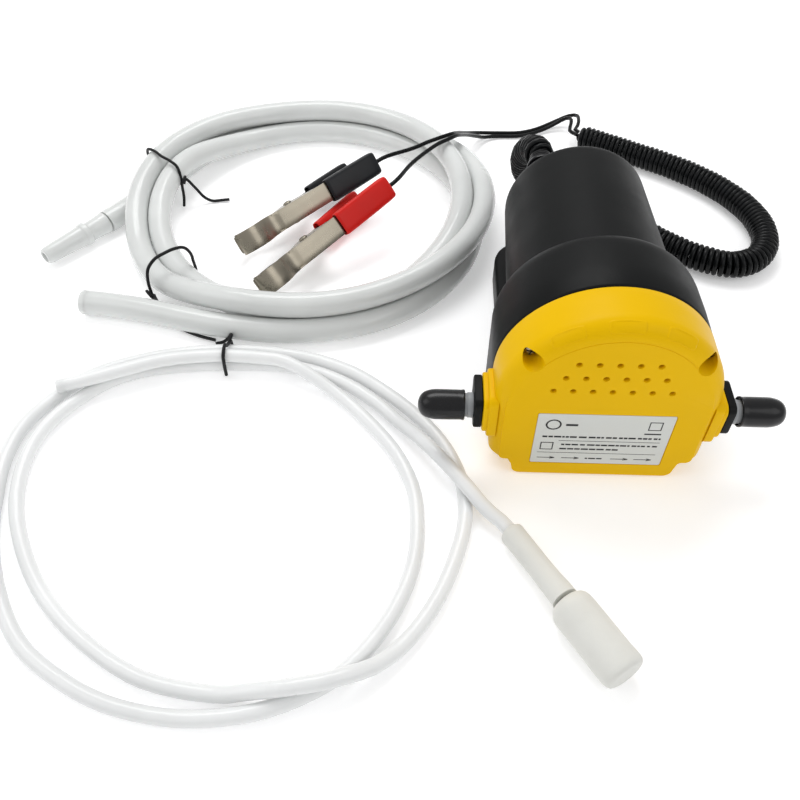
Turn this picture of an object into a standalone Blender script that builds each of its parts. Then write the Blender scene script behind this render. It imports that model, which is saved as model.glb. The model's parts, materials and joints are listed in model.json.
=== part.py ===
"""Hand-held 12 V fluid transfer pump with its curly power cord, battery clips and hoses.

Frame: metres, +Z up, +X to the right of someone facing the yellow cover, the cover faces -Y.
The origin is under the middle of the pump, on the surface that it stands on.
Inside this file lengths are in millimetres, with y counted from the front face; finish() converts.
"""
import math

import bmesh
import bpy
from mathutils import Matrix, Vector

for _o in list(bpy.data.objects):
    bpy.data.objects.remove(_o, do_unlink=True)

# ---------------------------------------------------------------- driving dimensions (mm)
PUMP_LENGTH = 163.0       # front face to the end of the cord gland
HALF_W = 50.0             # half width of the D-shaped body
ARCH_Z = 49.0             # height of the arch's centre
FOOT_HALF = 40.0          # half width of the foot under the cover
FOOT_H = 11.0
COVER_DEPTH = 25.0        # front face to the parting line
SHOULDER_Y = 64.5         # where the wide part of the housing ends
TAIL_END_Y = 153.0
TAIL_R0, TAIL_R1 = 42.0, 38.0
BASE_HALF, BASE_H, BASE_END_Y, BASE_CORNER = 41.5, 17.0, 160.0, 20.0
WALL = 3.0
GAP = 0.3                 # clearance kept between touching pieces

MOTOR_Z = 49.5            # motor shaft height
GEAR_CENTRES = 26.0       # distance between the two gear axes
GEAR_TEETH, GEAR_MODULE = 13, 2.0
PORT_Y, PORT_Z = 11.5, MOTOR_Z - GEAR_CENTRES / 2
CAP_TIP = 84.2

SCREW_X, SCREW_Z = 37.0, 77.0
POCKET_Y = 11.5           # depth of the two screw pockets
SWITCH_X, SWITCH_Z = 8.0, 42.0
GLAND_X, GLAND_Z = -20.0, 70.0

COIL_OD = 16.5            # outside of the curly cord
LEAD_D = 2.6
HOSE_D = 14.0             # thick discharge hose
TUBE_D = 7.0              # thin suction tube
RING_X, RING_Y = -154.5, 197.0   # centre of the coiled discharge hose

Y_SHIFT = -PUMP_LENGTH / 2
MM = 0.001

MATS = {}


def mat(name, rgb, rough, metal=0.0, alpha=1.0):
    if name not in MATS:
        m = bpy.data.materials.new(name)
        m.use_nodes = True
        b = m.node_tree.nodes["Principled BSDF"]
        b.inputs["Base Color"].default_value = (*rgb, 1.0)
        b.inputs["Roughness"].default_value = rough
        b.inputs["Metallic"].default_value = metal
        b.inputs["Alpha"].default_value = alpha
        m.diffuse_color = (*rgb, alpha)
        MATS[name] = m
    return MATS[name]


YELLOW = ("yellow_plastic", (0.90, 0.62, 0.02), 0.42)
BLACK = ("black_housing_plastic", (0.028, 0.028, 0.032), 0.55)
RUBBER = ("black_cap_rubber", (0.012, 0.012, 0.014), 0.3)
GREY = ("grey_port_plastic", (0.35, 0.36, 0.37), 0.45)
LABEL = ("label_film", (0.80, 0.82, 0.80), 0.35)
STEEL = ("plated_steel", (0.62, 0.60, 0.57), 0.3, 1.0)
DARKSTEEL = ("dark_steel", (0.33, 0.33, 0.35), 0.45, 1.0)
ALU = ("cast_aluminium", (0.62, 0.63, 0.64), 0.5, 1.0)
BRASS = ("sintered_brass", (0.70, 0.52, 0.22), 0.4, 1.0)
COPPER = ("copper", (0.72, 0.38, 0.22), 0.35, 1.0)
FERRITE = ("ferrite", (0.10, 0.10, 0.11), 0.7)
CARBON = ("carbon", (0.05, 0.05, 0.05), 0.8)
CORD = ("black_cord_pvc", (0.018, 0.018, 0.022), 0.4)
BOOT_K = ("black_boot_pvc", (0.015, 0.015, 0.018), 0.4)
BOOT_R = ("red_boot_pvc", (0.62, 0.02, 0.02), 0.38)
HOSE = ("clear_hose_pvc", (0.80, 0.84, 0.84), 0.2, 0.0, 0.5)
TUBE = ("milky_tube_pe", (0.86, 0.87, 0.88), 0.35, 0.0, 0.75)
STRAIN = ("white_strainer_pe", (0.88, 0.87, 0.83), 0.5)
TIE = ("black_tie", (0.02, 0.02, 0.02), 0.5)


# ---------------------------------------------------------------- mesh helpers (mm in, metres out)
def to_world(p):
    return Vector((p[0] * MM, (p[1] + Y_SHIFT) * MM, p[2] * MM))


def make(name, bm, m, origin=None, smooth=35.0, cutter=False):
    """Turn a bmesh in pump millimetres into an object whose origin is at `origin`."""
    bmesh.ops.remove_doubles(bm, verts=bm.verts, dist=1e-4)
    bmesh.ops.recalc_face_normals(bm, faces=bm.faces)
    if bm.calc_volume(signed=True) < 0:
        bmesh.ops.reverse_faces(bm, faces=bm.faces)
    o = to_world(origin) if origin is not None else Vector((0, 0, 0))
    for v in bm.verts:
        v.co = to_world(v.co) - o
    me = bpy.data.meshes.new(name)
    bm.to_mesh(me)
    bm.free()
    ob = bpy.data.objects.new(name, me)
    ob.location = o
    bpy.context.scene.collection.objects.link(ob)
    if cutter:
        ob.hide_render = True
        ob.display_type = "WIRE"
    else:
        me.materials.append(mat(*m))
        me.shade_smooth()
        me.set_sharp_from_angle(angle=math.radians(smooth))
    return ob


def boolean(ob, tool, op="DIFFERENCE"):
    b = ob.modifiers.new(op.title() + "_" + tool.name, "BOOLEAN")
    b.operation = op
    b.solver = "EXACT"
    b.object = tool
    return b


def prism(bm, pts, place, a0, a1):
    """Extrude a closed 2-D outline; place(p, a) gives the 3-D point at depth a."""
    lo = [bm.verts.new(place(p, a0)) for p in pts]
    hi = [bm.verts.new(place(p, a1)) for p in pts]
    n = len(pts)
    bm.faces.new(lo)
    bm.faces.new(hi)
    for i in range(n):
        j = (i + 1) % n
        bm.faces.new((lo[i], lo[j], hi[j], hi[i]))
    return bm


def loft(bm, rings):
    """Skin equal-count closed rings and cap both ends."""
    vs = [[bm.verts.new(p) for p in r] for r in rings]
    n = len(vs[0])
    for a, b in zip(vs, vs[1:]):
        for i in range(n):
            j = (i + 1) % n
            bm.faces.new((a[i], a[j], b[j], b[i]))
    bm.faces.new(vs[0])
    bm.faces.new(vs[-1])
    return bm


def frame_of(axis):
    a = Vector(axis).normalized()
    u = Vector((0, 0, 1)) if abs(a.z) < 0.9 else Vector((1, 0, 0))
    u = (u - a * u.dot(a)).normalized()
    return a, u, a.cross(u)


def lathe(bm, profile, centre, axis, n=32):
    """Turn a closed (radius, distance) outline about an axis through `centre`. r = 0 points close on the axis."""
    a, u, v = frame_of(axis)
    c = Vector(centre)
    rows = []
    for r, t in profile:
        if r <= 1e-9:
            rows.append([bm.verts.new(c + a * t)])
        else:
            rows.append([bm.verts.new(c + a * t + (u * math.cos(2 * math.pi * k / n) + v * math.sin(2 * math.pi * k / n)) * r) for k in range(n)])
    m = len(rows)
    for i in range(m):
        p, q = rows[i], rows[(i + 1) % m]
        if len(p) == 1 and len(q) == 1:
            continue
        for k in range(n):
            l = (k + 1) % n
            if len(p) == 1:
                bm.faces.new((p[0], q[k], q[l]))
            elif len(q) == 1:
                bm.faces.new((p[k], p[l], q[0]))
            else:
                bm.faces.new((p[k], p[l], q[l], q[k]))
    return bm


def rod(bm, r, t0, t1, centre, axis, n=24):
    return lathe(bm, [(0, t0), (r, t0), (r, t1), (0, t1)], centre, axis, n)


def ring(bm, r_in, r_out, t0, t1, centre, axis, n=32):
    return lathe(bm, [(r_in, t0), (r_out, t0), (r_out, t1), (r_in, t1)], centre, axis, n)


def box(bm, x0, x1, y0, y1, z0, z1):
    return prism(bm, [(x0, z0), (x1, z0), (x1, z1), (x0, z1)], lambda p, a: (p[0], a, p[1]), y0, y1)


def rounded(x0, x1, z0, z1, r, k=3):
    out = []
    for cx, cz, a0 in ((x1 - r, z0 + r, -90), (x1 - r, z1 - r, 0), (x0 + r, z1 - r, 90), (x0 + r, z0 + r, 180)):
        for i in range(k + 1):
            a = math.radians(a0 + 90 * i / k)
            out.append((cx + r * math.cos(a), cz + r * math.sin(a)))
    return out


def arc(cx, cz, r, a0, a1, k):
    return [(cx + r * math.cos(math.radians(a0 + (a1 - a0) * i / k)), cz + r * math.sin(math.radians(a0 + (a1 - a0) * i / k))) for i in range(k + 1)]


def xz(p, a):
    return (p[0], a, p[1])


Y_AXIS, X_AXIS, Z_AXIS = (0, 1, 0), (1, 0, 0), (0, 0, 1)


def smooth_route(route, step):
    """Read evenly spaced points from a smooth curve through the route's own points."""
    P = [Vector(p) for p in route]
    P = [P[0] * 2 - P[1]] + P + [P[-1] * 2 - P[-2]]
    fine = []
    for i in range(1, len(P) - 2):
        p0, p1, p2, p3 = P[i - 1:i + 3]
        t0 = 0.0
        t1 = t0 + (p1 - p0).length ** 0.5
        t2 = t1 + (p2 - p1).length ** 0.5
        t3 = t2 + (p3 - p2).length ** 0.5
        for k in range(12):
            t = t1 + (t2 - t1) * k / 12
            a1 = p0 * ((t1 - t) / (t1 - t0)) + p1 * ((t - t0) / (t1 - t0))
            a2 = p1 * ((t2 - t) / (t2 - t1)) + p2 * ((t - t1) / (t2 - t1))
            a3 = p2 * ((t3 - t) / (t3 - t2)) + p3 * ((t - t2) / (t3 - t2))
            b1 = a1 * ((t2 - t) / (t2 - t0)) + a2 * ((t - t0) / (t2 - t0))
            b2 = a2 * ((t3 - t) / (t3 - t1)) + a3 * ((t - t1) / (t3 - t1))
            fine.append(b1 * ((t2 - t) / (t2 - t1)) + b2 * ((t - t1) / (t2 - t1)))
    fine.append(P[-2])
    total = sum((b - a).length for a, b in zip(fine, fine[1:]))
    n = max(2, round(total / step))
    out, want, run = [fine[0]], total / n, 0.0
    for a, b in zip(fine, fine[1:]):
        seg = (b - a).length
        while run + seg >= want - 1e-6 and len(out) < n:
            f = (want - run) / seg
            a = a.lerp(b, f)
            out.append(a.copy())
            seg = (b - a).length
            run = 0.0
        run += seg
    if (out[-1] - fine[-1]).length < want * 0.3:
        out.pop()
    out.append(fine[-1])
    return out, total


def tube(name, route, diameter, m, step, sides=2, start_dir=None, end_dir=None, floor=True):
    """A cord or hose; start_dir and end_dir make an end square to the piece that it meets."""
    pts, total = smooth_route(route, step)
    if floor:
        for p in pts:
            p.z = max(p.z, diameter / 2 + 0.05)
    if start_dir is not None:
        pts.insert(1, pts[0] + Vector(start_dir).normalized() * 1.2)
    if end_dir is not None:
        pts.insert(-1, pts[-1] - Vector(end_dir).normalized() * 1.2)
    cu = bpy.data.curves.new(name, "CURVE")
    cu.dimensions = "3D"
    cu.bevel_depth = diameter / 2 * MM
    cu.bevel_resolution = sides
    cu.use_fill_caps = True
    sp = cu.splines.new("POLY")
    sp.points.add(len(pts) - 1)
    o = to_world(pts[0])
    for q, p in zip(sp.points, pts):
        w = to_world(p) - o
        q.co = (w.x, w.y, w.z, 1.0)
    ob = bpy.data.objects.new(name, cu)
    ob.location = o
    cu.materials.append(mat(*m))
    bpy.context.scene.collection.objects.link(ob)
    return ob


# ---------------------------------------------------------------- outlines of the casing
def body_outline(d=0.0, half=HALF_W, foot=FOOT_HALF, k=28):
    """Arch on vertical sides over a narrower foot. d shrinks the arch and the sides, d_low the foot."""
    h, f, r = half - d, foot, 3.0
    low = min(d, 1.0)
    pts = [(-f + 4 + low, 0 + low), (f - 4 - low, 0 + low)]
    pts += arc(f - 4 - low, 4 + low, 4, -90, 0, 3)[1:]
    pts += [(f - low, FOOT_H - 2), (f + 0.6 - low, FOOT_H - 0.6), (f + 2 - low, FOOT_H)]
    pts += [(h - r, FOOT_H)] + arc(h - r, FOOT_H + r, r, -90, 0, 3)[1:]
    pts += arc(0, ARCH_Z, h, 0, 180, k)
    pts += arc(-h + r, FOOT_H + r, r, 180, 270, 3)
    pts += [(-f - 2 + low, FOOT_H), (-f - 0.6 + low, FOOT_H - 0.6), (-f + low, FOOT_H - 2)]
    pts += arc(-f + 4 + low, 4 + low, 4, 180, 270, 3)[:-1]
    return pts


def inner_outline(d=0.0, k=28):
    h = HALF_W - WALL - d
    f = FOOT_HALF - WALL
    return ([(-f, 3.0), (f, 3.0), (f, FOOT_H + WALL), (h, FOOT_H + WALL)] + arc(0, ARCH_Z, h, 0, 180, k)
            + [(-h, FOOT_H + WALL), (-f, FOOT_H + WALL)])


def arch_sections(ys_ds, outline):
    return [[xz(p, y) for p in outline(d)] for y, d in ys_ds]


# ---------------------------------------------------------------- front cover
FILLET = 6.0
secs = [(FILLET * (1 - math.cos(math.radians(a))), FILLET * (1 - math.sin(math.radians(a)))) for a in (0, 22.5, 45, 67.5, 90)]
cover = make("front_cover", loft(bmesh.new(), arch_sections(secs + [(COVER_DEPTH, 0.0)], body_outline)), YELLOW, smooth=30)

# the two stepped saddles that carry the ports
for sx in (-1, 1):
    for x_out, z0, z1, y0 in ((52.3, PORT_Z - 13.2, PORT_Z + 13.2, 1.8), (54.5, PORT_Z - 10.6, PORT_Z + 10.6, 2.6)):
        saddle = bmesh.new()
        prism(saddle, rounded(y0, COVER_DEPTH, z0, z1, 4.0, 4), lambda p, a: (a, p[0], p[1]), sx * 48.0, sx * x_out)
        boolean(cover, make("cut_saddle_%d_%d" % (sx, x_out * 10), saddle, None, cutter=True), "UNION")

cav = make("cut_cover_cavity", loft(bmesh.new(), arch_sections([(WALL, 4.0), (4.2, 1.4), (7.0, 0.0), (COVER_DEPTH + 2, 0.0)], inner_outline)), None, cutter=True)
for sx in (-1, 1):
    post = make("cut_cover_post_%d" % sx, rod(bmesh.new(), 6.8, -1, COVER_DEPTH + 3, (sx * SCREW_X, 0, SCREW_Z), Y_AXIS, 24), None, cutter=True)
    boolean(cav, post)
boolean(cover, cav)
for sx in (-1, 1):
    # scooped screw pocket, open to the front and to the rim, and the screw's clearance hole
    pocket = bmesh.new()
    lathe(pocket, [(0, -1), (5.2, -1), (5.0, 6.0), (4.6, POCKET_Y), (0, POCKET_Y)], (sx * SCREW_X, 0, SCREW_Z), Y_AXIS, 24)
    boolean(cover, make("cut_pocket_%d" % sx, pocket, None, cutter=True))
    away = Vector((sx * SCREW_X, 0, SCREW_Z - ARCH_Z)).normalized()
    side = Vector((-away.z, 0, away.x))
    mouth = bmesh.new()
    prism(mouth, [(0.5, -4.1), (12.0, -5.6), (12.0, 5.6), (0.5, 4.1)],
          lambda p, a: tuple(Vector((sx * SCREW_X, a, SCREW_Z)) + away * p[0] + side * p[1]), -1.2, POCKET_Y - 0.4)
    boolean(cover, make("cut_mouth_%d" % sx, mouth, None, cutter=True))
    boolean(cover, make("cut_cover_screw_%d" % sx, rod(bmesh.new(), 2.1, 8, COVER_DEPTH + 4, (sx * SCREW_X, 0, SCREW_Z), Y_AXIS, 12), None, cutter=True))
    boolean(cover, make("cut_port_hole_%d" % sx, rod(bmesh.new(), 5.4, 40, 60, (0, PORT_Y, PORT_Z), (sx, 0, 0), 20), None, cutter=True))

# eighteen vent holes in three rows
vents = bmesh.new()
for n_holes, z in ((5, 77.0), (6, 68.6), (7, 60.2)):
    for i in range(n_holes):
        rod(vents, 1.15, -1.0, WALL + 1.5, ((i - (n_holes - 1) / 2) * 8.5, 0, z), Y_AXIS, 8)
boolean(cover, make("cut_vents", vents, None, cutter=True))
# shallow seat for the rating plate
PLATE = (-30.2, 31.2, 9.4, 45.0)
boolean(cover, make("cut_plate_seat", box(bmesh.new(), PLATE[0] - 0.4, PLATE[1] + 0.4, -1, 0.8, PLATE[2] - 0.4, PLATE[3] + 0.4), None, cutter=True))
make("rating_plate", prism(bmesh.new(), rounded(PLATE[0], PLATE[1], PLATE[2], PLATE[3], 0.8, 2), xz, 0.1, 0.5), LABEL)

# ---------------------------------------------------------------- motor housing
y0 = COVER_DEPTH + GAP
shoulder = [(y0, 0.0), (y0 + 1, 0.0), (56.5, 0.8), (60.0, 1.5), (62.4, 3.2), (63.8, 5.6), (SHOULDER_Y, 8.6)]


def housing_outline(d, k=28):
    """Arch on vertical sides that run down to the ground."""
    h = HALF_W - d
    return arc(h - 3, 3, 3, -90, 0, 3) + arc(0, ARCH_Z, h, 0, 180, k) + arc(-h + 3, 3, 3, 180, 270, 3)


def housing_inner(d, k=28):
    h = HALF_W - WALL - d
    return [(-h, WALL), (h, WALL)] + arc(0, ARCH_Z, h, 0, 180, k)


housing = make("motor_housing", loft(bmesh.new(), arch_sections(shoulder, housing_outline)), BLACK, smooth=40)


def circle(r, y, zc=ARCH_Z, k=40):
    return [(r * math.cos(2 * math.pi * i / k), y, zc + r * math.sin(2 * math.pi * i / k)) for i in range(k)]


tail = make("cut_tail", loft(bmesh.new(), [circle(TAIL_R0, 55), circle(TAIL_R0 - 0.6, 66), circle(TAIL_R1 + 0.1, 147.6), circle(TAIL_R1 - 0.9, 150.4), circle(TAIL_R1 - 2.8, 152.2), circle(TAIL_R1 - 5.4, TAIL_END_Y)]), None, cutter=True)
boolean(housing, tail, "UNION")


def base_plan(half, y_start, y_end, r):
    pts = [(-half, y_start)]
    pts += [(half, y_start)]
    pts += arc(half - r, y_end - r, r, 0, 90, 6)
    pts += arc(-half + r, y_end - r, r, 90, 180, 6)
    return pts


base = bmesh.new()
loft(base, [[(p[0], p[1], z) for p in base_plan(BASE_HALF - d, 50.0, BASE_END_Y - d, BASE_CORNER)] for z, d in ((0.0, 0.6), (0.8, 0.0), (BASE_H - 1.6, 0.0), (BASE_H - 0.5, 0.5), (BASE_H, 1.6))])
boolean(housing, make("cut_base", base, None, cutter=True), "UNION")

cav = make("cut_housing_cavity", loft(bmesh.new(), arch_sections([(COVER_DEPTH - 2, 0.0), (56.0, 1.0), (60.5, 4.0)], housing_inner)), None, cutter=True)
for sx in (-1, 1):
    boolean(cav, make("cut_housing_post_%d" % sx, rod(bmesh.new(), 5.6, COVER_DEPTH - 3, 46, (sx * SCREW_X, 0, SCREW_Z), Y_AXIS, 20), None, cutter=True))
boolean(cav, make("cut_tail_cavity", loft(bmesh.new(), [circle(TAIL_R0 - WALL, 50), circle(TAIL_R1 - WALL, 146), circle(TAIL_R1 - WALL - 2.4, TAIL_END_Y - WALL)]), None, cutter=True), "UNION")
basecav = bmesh.new()
loft(basecav, [[(p[0], p[1], z) for p in base_plan(BASE_HALF - WALL - 1.5, 45.0, BASE_END_Y - WALL, BASE_CORNER - WALL)] for z in (3.0, BASE_H - WALL)])
boolean(cav, make("cut_base_cavity", basecav, None, cutter=True), "UNION")
boolean(housing, cav)
for sx in (-1, 1):
    boolean(housing, make("cut_housing_screw_%d" % sx, rod(bmesh.new(), 2.1, COVER_DEPTH - 3, 41, (sx * SCREW_X, 0, SCREW_Z), Y_AXIS, 12), None, cutter=True))
boolean(housing, make("cut_switch_opening", box(bmesh.new(), SWITCH_X - 6.6, SWITCH_X + 6.6, TAIL_END_Y - 8, TAIL_END_Y + 2, SWITCH_Z - 9.6, SWITCH_Z + 9.6), None, cutter=True))
boolean(housing, make("cut_gland_hole", rod(bmesh.new(), 5.6, TAIL_END_Y - 8, TAIL_END_Y + 2, (GLAND_X, 0, GLAND_Z), Y_AXIS, 20), None, cutter=True))

# ---------------------------------------------------------------- cover screws
for name, sx in (("cover_screw_left", -1), ("cover_screw_right", 1)):
    s = bmesh.new()
    lathe(s, [(0, 9.0), (1.6, 8.9), (3.0, 9.5), (3.5, 10.4), (3.5, 11.2), (1.6, 11.2), (1.6, 37.0), (0, 39.0)], (sx * SCREW_X, 0, SCREW_Z), Y_AXIS, 20)
    ob = make(name, s, STEEL)
    slot = bmesh.new()
    prism(slot, [(-2.2, -0.35), (2.2, -0.35), (2.2, 0.35), (-2.2, 0.35)], lambda p, a, sx=sx: (sx * SCREW_X + p[0], a, SCREW_Z + p[1]), 8.0, 9.9)
    slot2 = bmesh.new()
    prism(slot2, [(-0.35, -2.2), (0.35, -2.2), (0.35, 2.2), (-0.35, 2.2)], lambda p, a, sx=sx: (sx * SCREW_X + p[0], a, SCREW_Z + p[1]), 8.0, 9.9)
    boolean(ob, make("cut_slot_a_%d" % sx, slot, None, cutter=True))
    boolean(ob, make("cut_slot_b_%d" % sx, slot2, None, cutter=True))

# ---------------------------------------------------------------- ports: flange, barb, cap
for side, sx in (("left", -1), ("right", 1)):
    f = bmesh.new()
    prism(f, rounded(PORT_Y - 8.0, PORT_Y + 8.0, PORT_Z - 8.2, PORT_Z + 8.2, 3.0, 3), lambda p, a: (a, p[0], p[1]), sx * 54.8, sx * 58.6)
    ob = make("port_flange_" + side, f, BLACK)
    boolean(ob, make("cut_flange_" + side, rod(bmesh.new(), 5.4, 50, 62, (0, PORT_Y, PORT_Z), (sx, 0, 0), 20), None, cutter=True))
    b = bmesh.new()
    lathe(b, [(3.0, 26.6), (5.0, 26.6), (5.0, 58.9), (5.5, 58.9), (5.5, 64.6), (5.1, 65.0), (5.1, 66.0), (5.9, 66.6), (5.3, 70.6), (5.9, 71.0), (5.3, 75.0), (5.9, 75.4), (5.0, 79.8), (3.0, 79.8)],
          (0, PORT_Y, PORT_Z), (sx, 0, 0), 24)
    make("port_barb_" + side, b, GREY)
    c = bmesh.new()
    lathe(c, [(6.2, 62.6), (6.9, 62.6), (7.1, 63.1), (7.1, 76.6), (6.7, 79.0), (5.6, 81.2), (3.6, 82.9), (1.4, 83.9), (0, CAP_TIP), (0, 80.4), (4.8, 80.4), (6.2, 78.6)],
          (0, PORT_Y, PORT_Z), (sx, 0, 0), 28)
    make("port_cap_" + side, c, RUBBER, origin=(sx * 62.6, PORT_Y, PORT_Z))

# ---------------------------------------------------------------- gear pump
DRIVEN_Z = MOTOR_Z - GEAR_CENTRES
body = bmesh.new()
prism(body, rounded(-26, 26, 4.6, 68.5, 5.0, 4), xz, 7.0, 36.0)
pump_body = make("pump_body", body, ALU)
waist = math.degrees(math.asin(GEAR_CENTRES / 2 / 15.3))
peanut = arc(0, MOTOR_Z, 15.3, -waist, 180 + waist, 34) + arc(0, DRIVEN_Z, 15.3, 180 - waist, 360 + waist, 34)[1:-1]
boolean(pump_body, make("cut_chambers", prism(bmesh.new(), peanut, xz, 5.0, 18.0), None, cutter=True))
boolean(pump_body, make("cut_port_channel", rod(bmesh.new(), 3.0, -30, 30, (0, PORT_Y, PORT_Z), X_AXIS, 14), None, cutter=True))
boolean(pump_body, make("cut_seal_seat", rod(bmesh.new(), 6.0, 17.0, 24.0, (0, 0, MOTOR_Z), Y_AXIS, 20), None, cutter=True))
boolean(pump_body, make("cut_shaft_way", rod(bmesh.new(), 3.2, 23.0, 38.0, (0, 0, MOTOR_Z), Y_AXIS, 16), None, cutter=True))
boolean(pump_body, make("cut_bearing_seat", rod(bmesh.new(), 5.6, 33.5, 38.0, (0, 0, MOTOR_Z), Y_AXIS, 20), None, cutter=True))
boolean(pump_body, make("cut_pin_seat", rod(bmesh.new(), 2.8, 17.0, 26.0, (0, 0, DRIVEN_Z), Y_AXIS, 16), None, cutter=True))
PUMP_SCREWS = ((20.5, 62.5), (-20.5, 10.6))
for i, (x, z) in enumerate(PUMP_SCREWS):
    boolean(pump_body, make("cut_body_screw_%d" % i, rod(bmesh.new(), 2.3, 5.0, 28.0, (x, 0, z), Y_AXIS, 12), None, cutter=True))

lid = make("pump_lid", prism(bmesh.new(), rounded(-26, 26, 4.6, 68.5, 5.0, 4), xz, 3.6, 6.7), ALU)
for i, (x, z) in enumerate(PUMP_SCREWS):
    boolean(lid, make("cut_lid_screw_%d" % i, lathe(bmesh.new(), [(0, 2), (3.8, 2), (3.8, 5.5), (2.3, 5.5), (2.3, 8), (0, 8)], (x, 0, z), Y_AXIS, 16), None, cutter=True))
    s = bmesh.new()
    lathe(s, [(0, 4.3), (1.6, 4.3), (1.8, 3.9), (3.4, 3.9), (3.4, 5.2), (1.9, 5.2), (1.9, 26.0), (0, 27.0)], (x, 0, z), Y_AXIS, 16)
    make("pump_screw_%d" % (i + 1), s, STEEL)


def gear_outline(teeth, module, pressure=25.0, backlash=0.45, tip=0.88, root=1.22):
    """Involute teeth, thinned by the backlash; returns one closed outline."""
    rp = teeth * module / 2
    rb = rp * math.cos(math.radians(pressure))
    ra, rf = rp + tip * module, rp - root * module
    inv = lambda a: math.tan(a) - a
    half = (math.pi * module / 2 - backlash) / 2 / rp + inv(math.radians(pressure))
    flank = []
    for i in range(5):
        r = max(rb, rf) + (ra - max(rb, rf)) * i / 4
        ang = half - inv(math.acos(min(1.0, rb / r)))
        flank.append((r, ang))
    pts = []
    for t in range(teeth):
        c = 2 * math.pi * t / teeth
        foot = flank[0][1] + 0.015
        seq = [(rf, -foot - 0.02)] + [(r, -a) for r, a in flank] + [(r, a) for r, a in reversed(flank)] + [(rf, foot + 0.02)]
        pts += [(r * math.cos(c + a), r * math.sin(c + a)) for r, a in seq]
    return pts


def gear(name, z, phase, m):
    bm = bmesh.new()
    pts = [(math.cos(phase) * x - math.sin(phase) * y, math.sin(phase) * x + math.cos(phase) * y) for x, y in gear_outline(GEAR_TEETH, GEAR_MODULE)]
    prism(bm, pts, lambda p, a: (p[0], a, z + p[1]), 7.3, 17.7)
    ob = make(name, bm, m, origin=(0, 12.5, z), smooth=25)
    boolean(ob, make("cut_bore_" + name, rod(bmesh.new(), 2.8, 5, 20, (0, 0, z), Y_AXIS, 16), None, cutter=True))
    return ob


# a tooth of the drive gear points down; a gap of the driven gear points up
gear("drive_gear", MOTOR_Z, -math.pi / 2, BRASS)
gear("driven_gear", DRIVEN_Z, math.pi / 2 + math.pi / GEAR_TEETH, BRASS)
make("driven_shaft", rod(bmesh.new(), 2.5, 7.1, 25.0, (0, 0, DRIVEN_Z), Y_AXIS, 16), STEEL)
make("shaft_seal", ring(bmesh.new(), 2.8, 5.7, 18.6, 23.4, (0, 0, MOTOR_Z), Y_AXIS, 20), RUBBER)

# ---------------------------------------------------------------- motor
make("motor_can", ring(bmesh.new(), 28.0, 30.0, 40.3, 112.0, (0, 0, MOTOR_Z), Y_AXIS, 40), DARKSTEEL)
make("motor_front_bell", ring(bmesh.new(), 5.6, 30.0, 36.6, 40.0, (0, 0, MOTOR_Z), Y_AXIS, 40), ALU)
make("motor_rear_bell", ring(bmesh.new(), 5.6, 30.0, 112.3, 115.6, (0, 0, MOTOR_Z), Y_AXIS, 40), ALU)
make("front_bearing", ring(bmesh.new(), 2.8, 5.2, 35.4, 41.4, (0, 0, MOTOR_Z), Y_AXIS, 20), BRASS)
make("rear_bearing", ring(bmesh.new(), 2.8, 5.2, 111.0, 117.0, (0, 0, MOTOR_Z), Y_AXIS, 20), BRASS)
make("motor_shaft", rod(bmesh.new(), 2.5, 7.4, 119.0, (0, 0, MOTOR_Z), Y_AXIS, 16), STEEL)
for side, a0 in (("left", 125.0), ("right", -55.0)):
    bm = bmesh.new()
    outline = arc(0, MOTOR_Z, 27.6, a0, a0 + 110, 12) + list(reversed(arc(0, MOTOR_Z, 22.6, a0, a0 + 110, 12)))
    prism(bm, outline, xz, 50, 95)
    make("magnet_" + side, bm, FERRITE)
arm = []
for i in range(12):
    c = 30.0 * i
    arm += [(r * math.cos(math.radians(c + a)), r * math.sin(math.radians(c + a))) for r, a in ((14.0, -13.0), (19.4, -12.0), (21.8, -11.6), (21.8, 0.0), (21.8, 11.6), (19.4, 12.0), (14.0, 13.0))]
bm = bmesh.new()
prism(bm, arm, lambda p, a: (p[0], a, MOTOR_Z + p[1]), 52, 92)
ob = make("armature", bm, DARKSTEEL, origin=(0, 72, MOTOR_Z))
boolean(ob, make("cut_bore_armature", rod(bmesh.new(), 2.8, 45, 98, (0, 0, MOTOR_Z), Y_AXIS, 16), None, cutter=True))
make("commutator", ring(bmesh.new(), 2.8, 8.0, 94.5, 107.0, (0, 0, MOTOR_Z), Y_AXIS, 24), COPPER, origin=(0, 100, MOTOR_Z))
for side, sx in (("left", -1), ("right", 1)):
    xs = sorted((sx * 8.5, sx * 17.5))
    make("brush_" + side, box(bmesh.new(), xs[0], xs[1], 98, 104, MOTOR_Z - 3, MOTOR_Z + 3), CARBON)

# ---------------------------------------------------------------- rocker switch on the rear face
FRAME_Y = TAIL_END_Y + GAP
sf = make("switch_frame", prism(bmesh.new(), rounded(SWITCH_X - 8, SWITCH_X + 8, SWITCH_Z - 11, SWITCH_Z + 11, 1.5, 2), xz, FRAME_Y, FRAME_Y + 2.0), BLACK)
boolean(sf, make("cut_switch_body", box(bmesh.new(), SWITCH_X - 6.2, SWITCH_X + 6.2, TAIL_END_Y - 15, FRAME_Y + 1, SWITCH_Z - 9.2, SWITCH_Z + 9.2), None, cutter=True), "UNION")
boolean(sf, make("cut_switch_pocket", box(bmesh.new(), SWITCH_X - 4.6, SWITCH_X + 4.6, TAIL_END_Y - 9, FRAME_Y + 4, SWITCH_Z - 8.0, SWITCH_Z + 8.0), None, cutter=True))
ROCKER_Y = TAIL_END_Y - 3.0
rk = [(-3.2, -5.4), (0.5, -6.4), (5.4, -6.4), (6.0, -5.9), (4.4, 0.0), (6.0, 5.9), (5.4, 6.4), (0.5, 6.4), (-3.2, 5.4)]
tilt = math.radians(9.0)
bm = bmesh.new()
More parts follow.
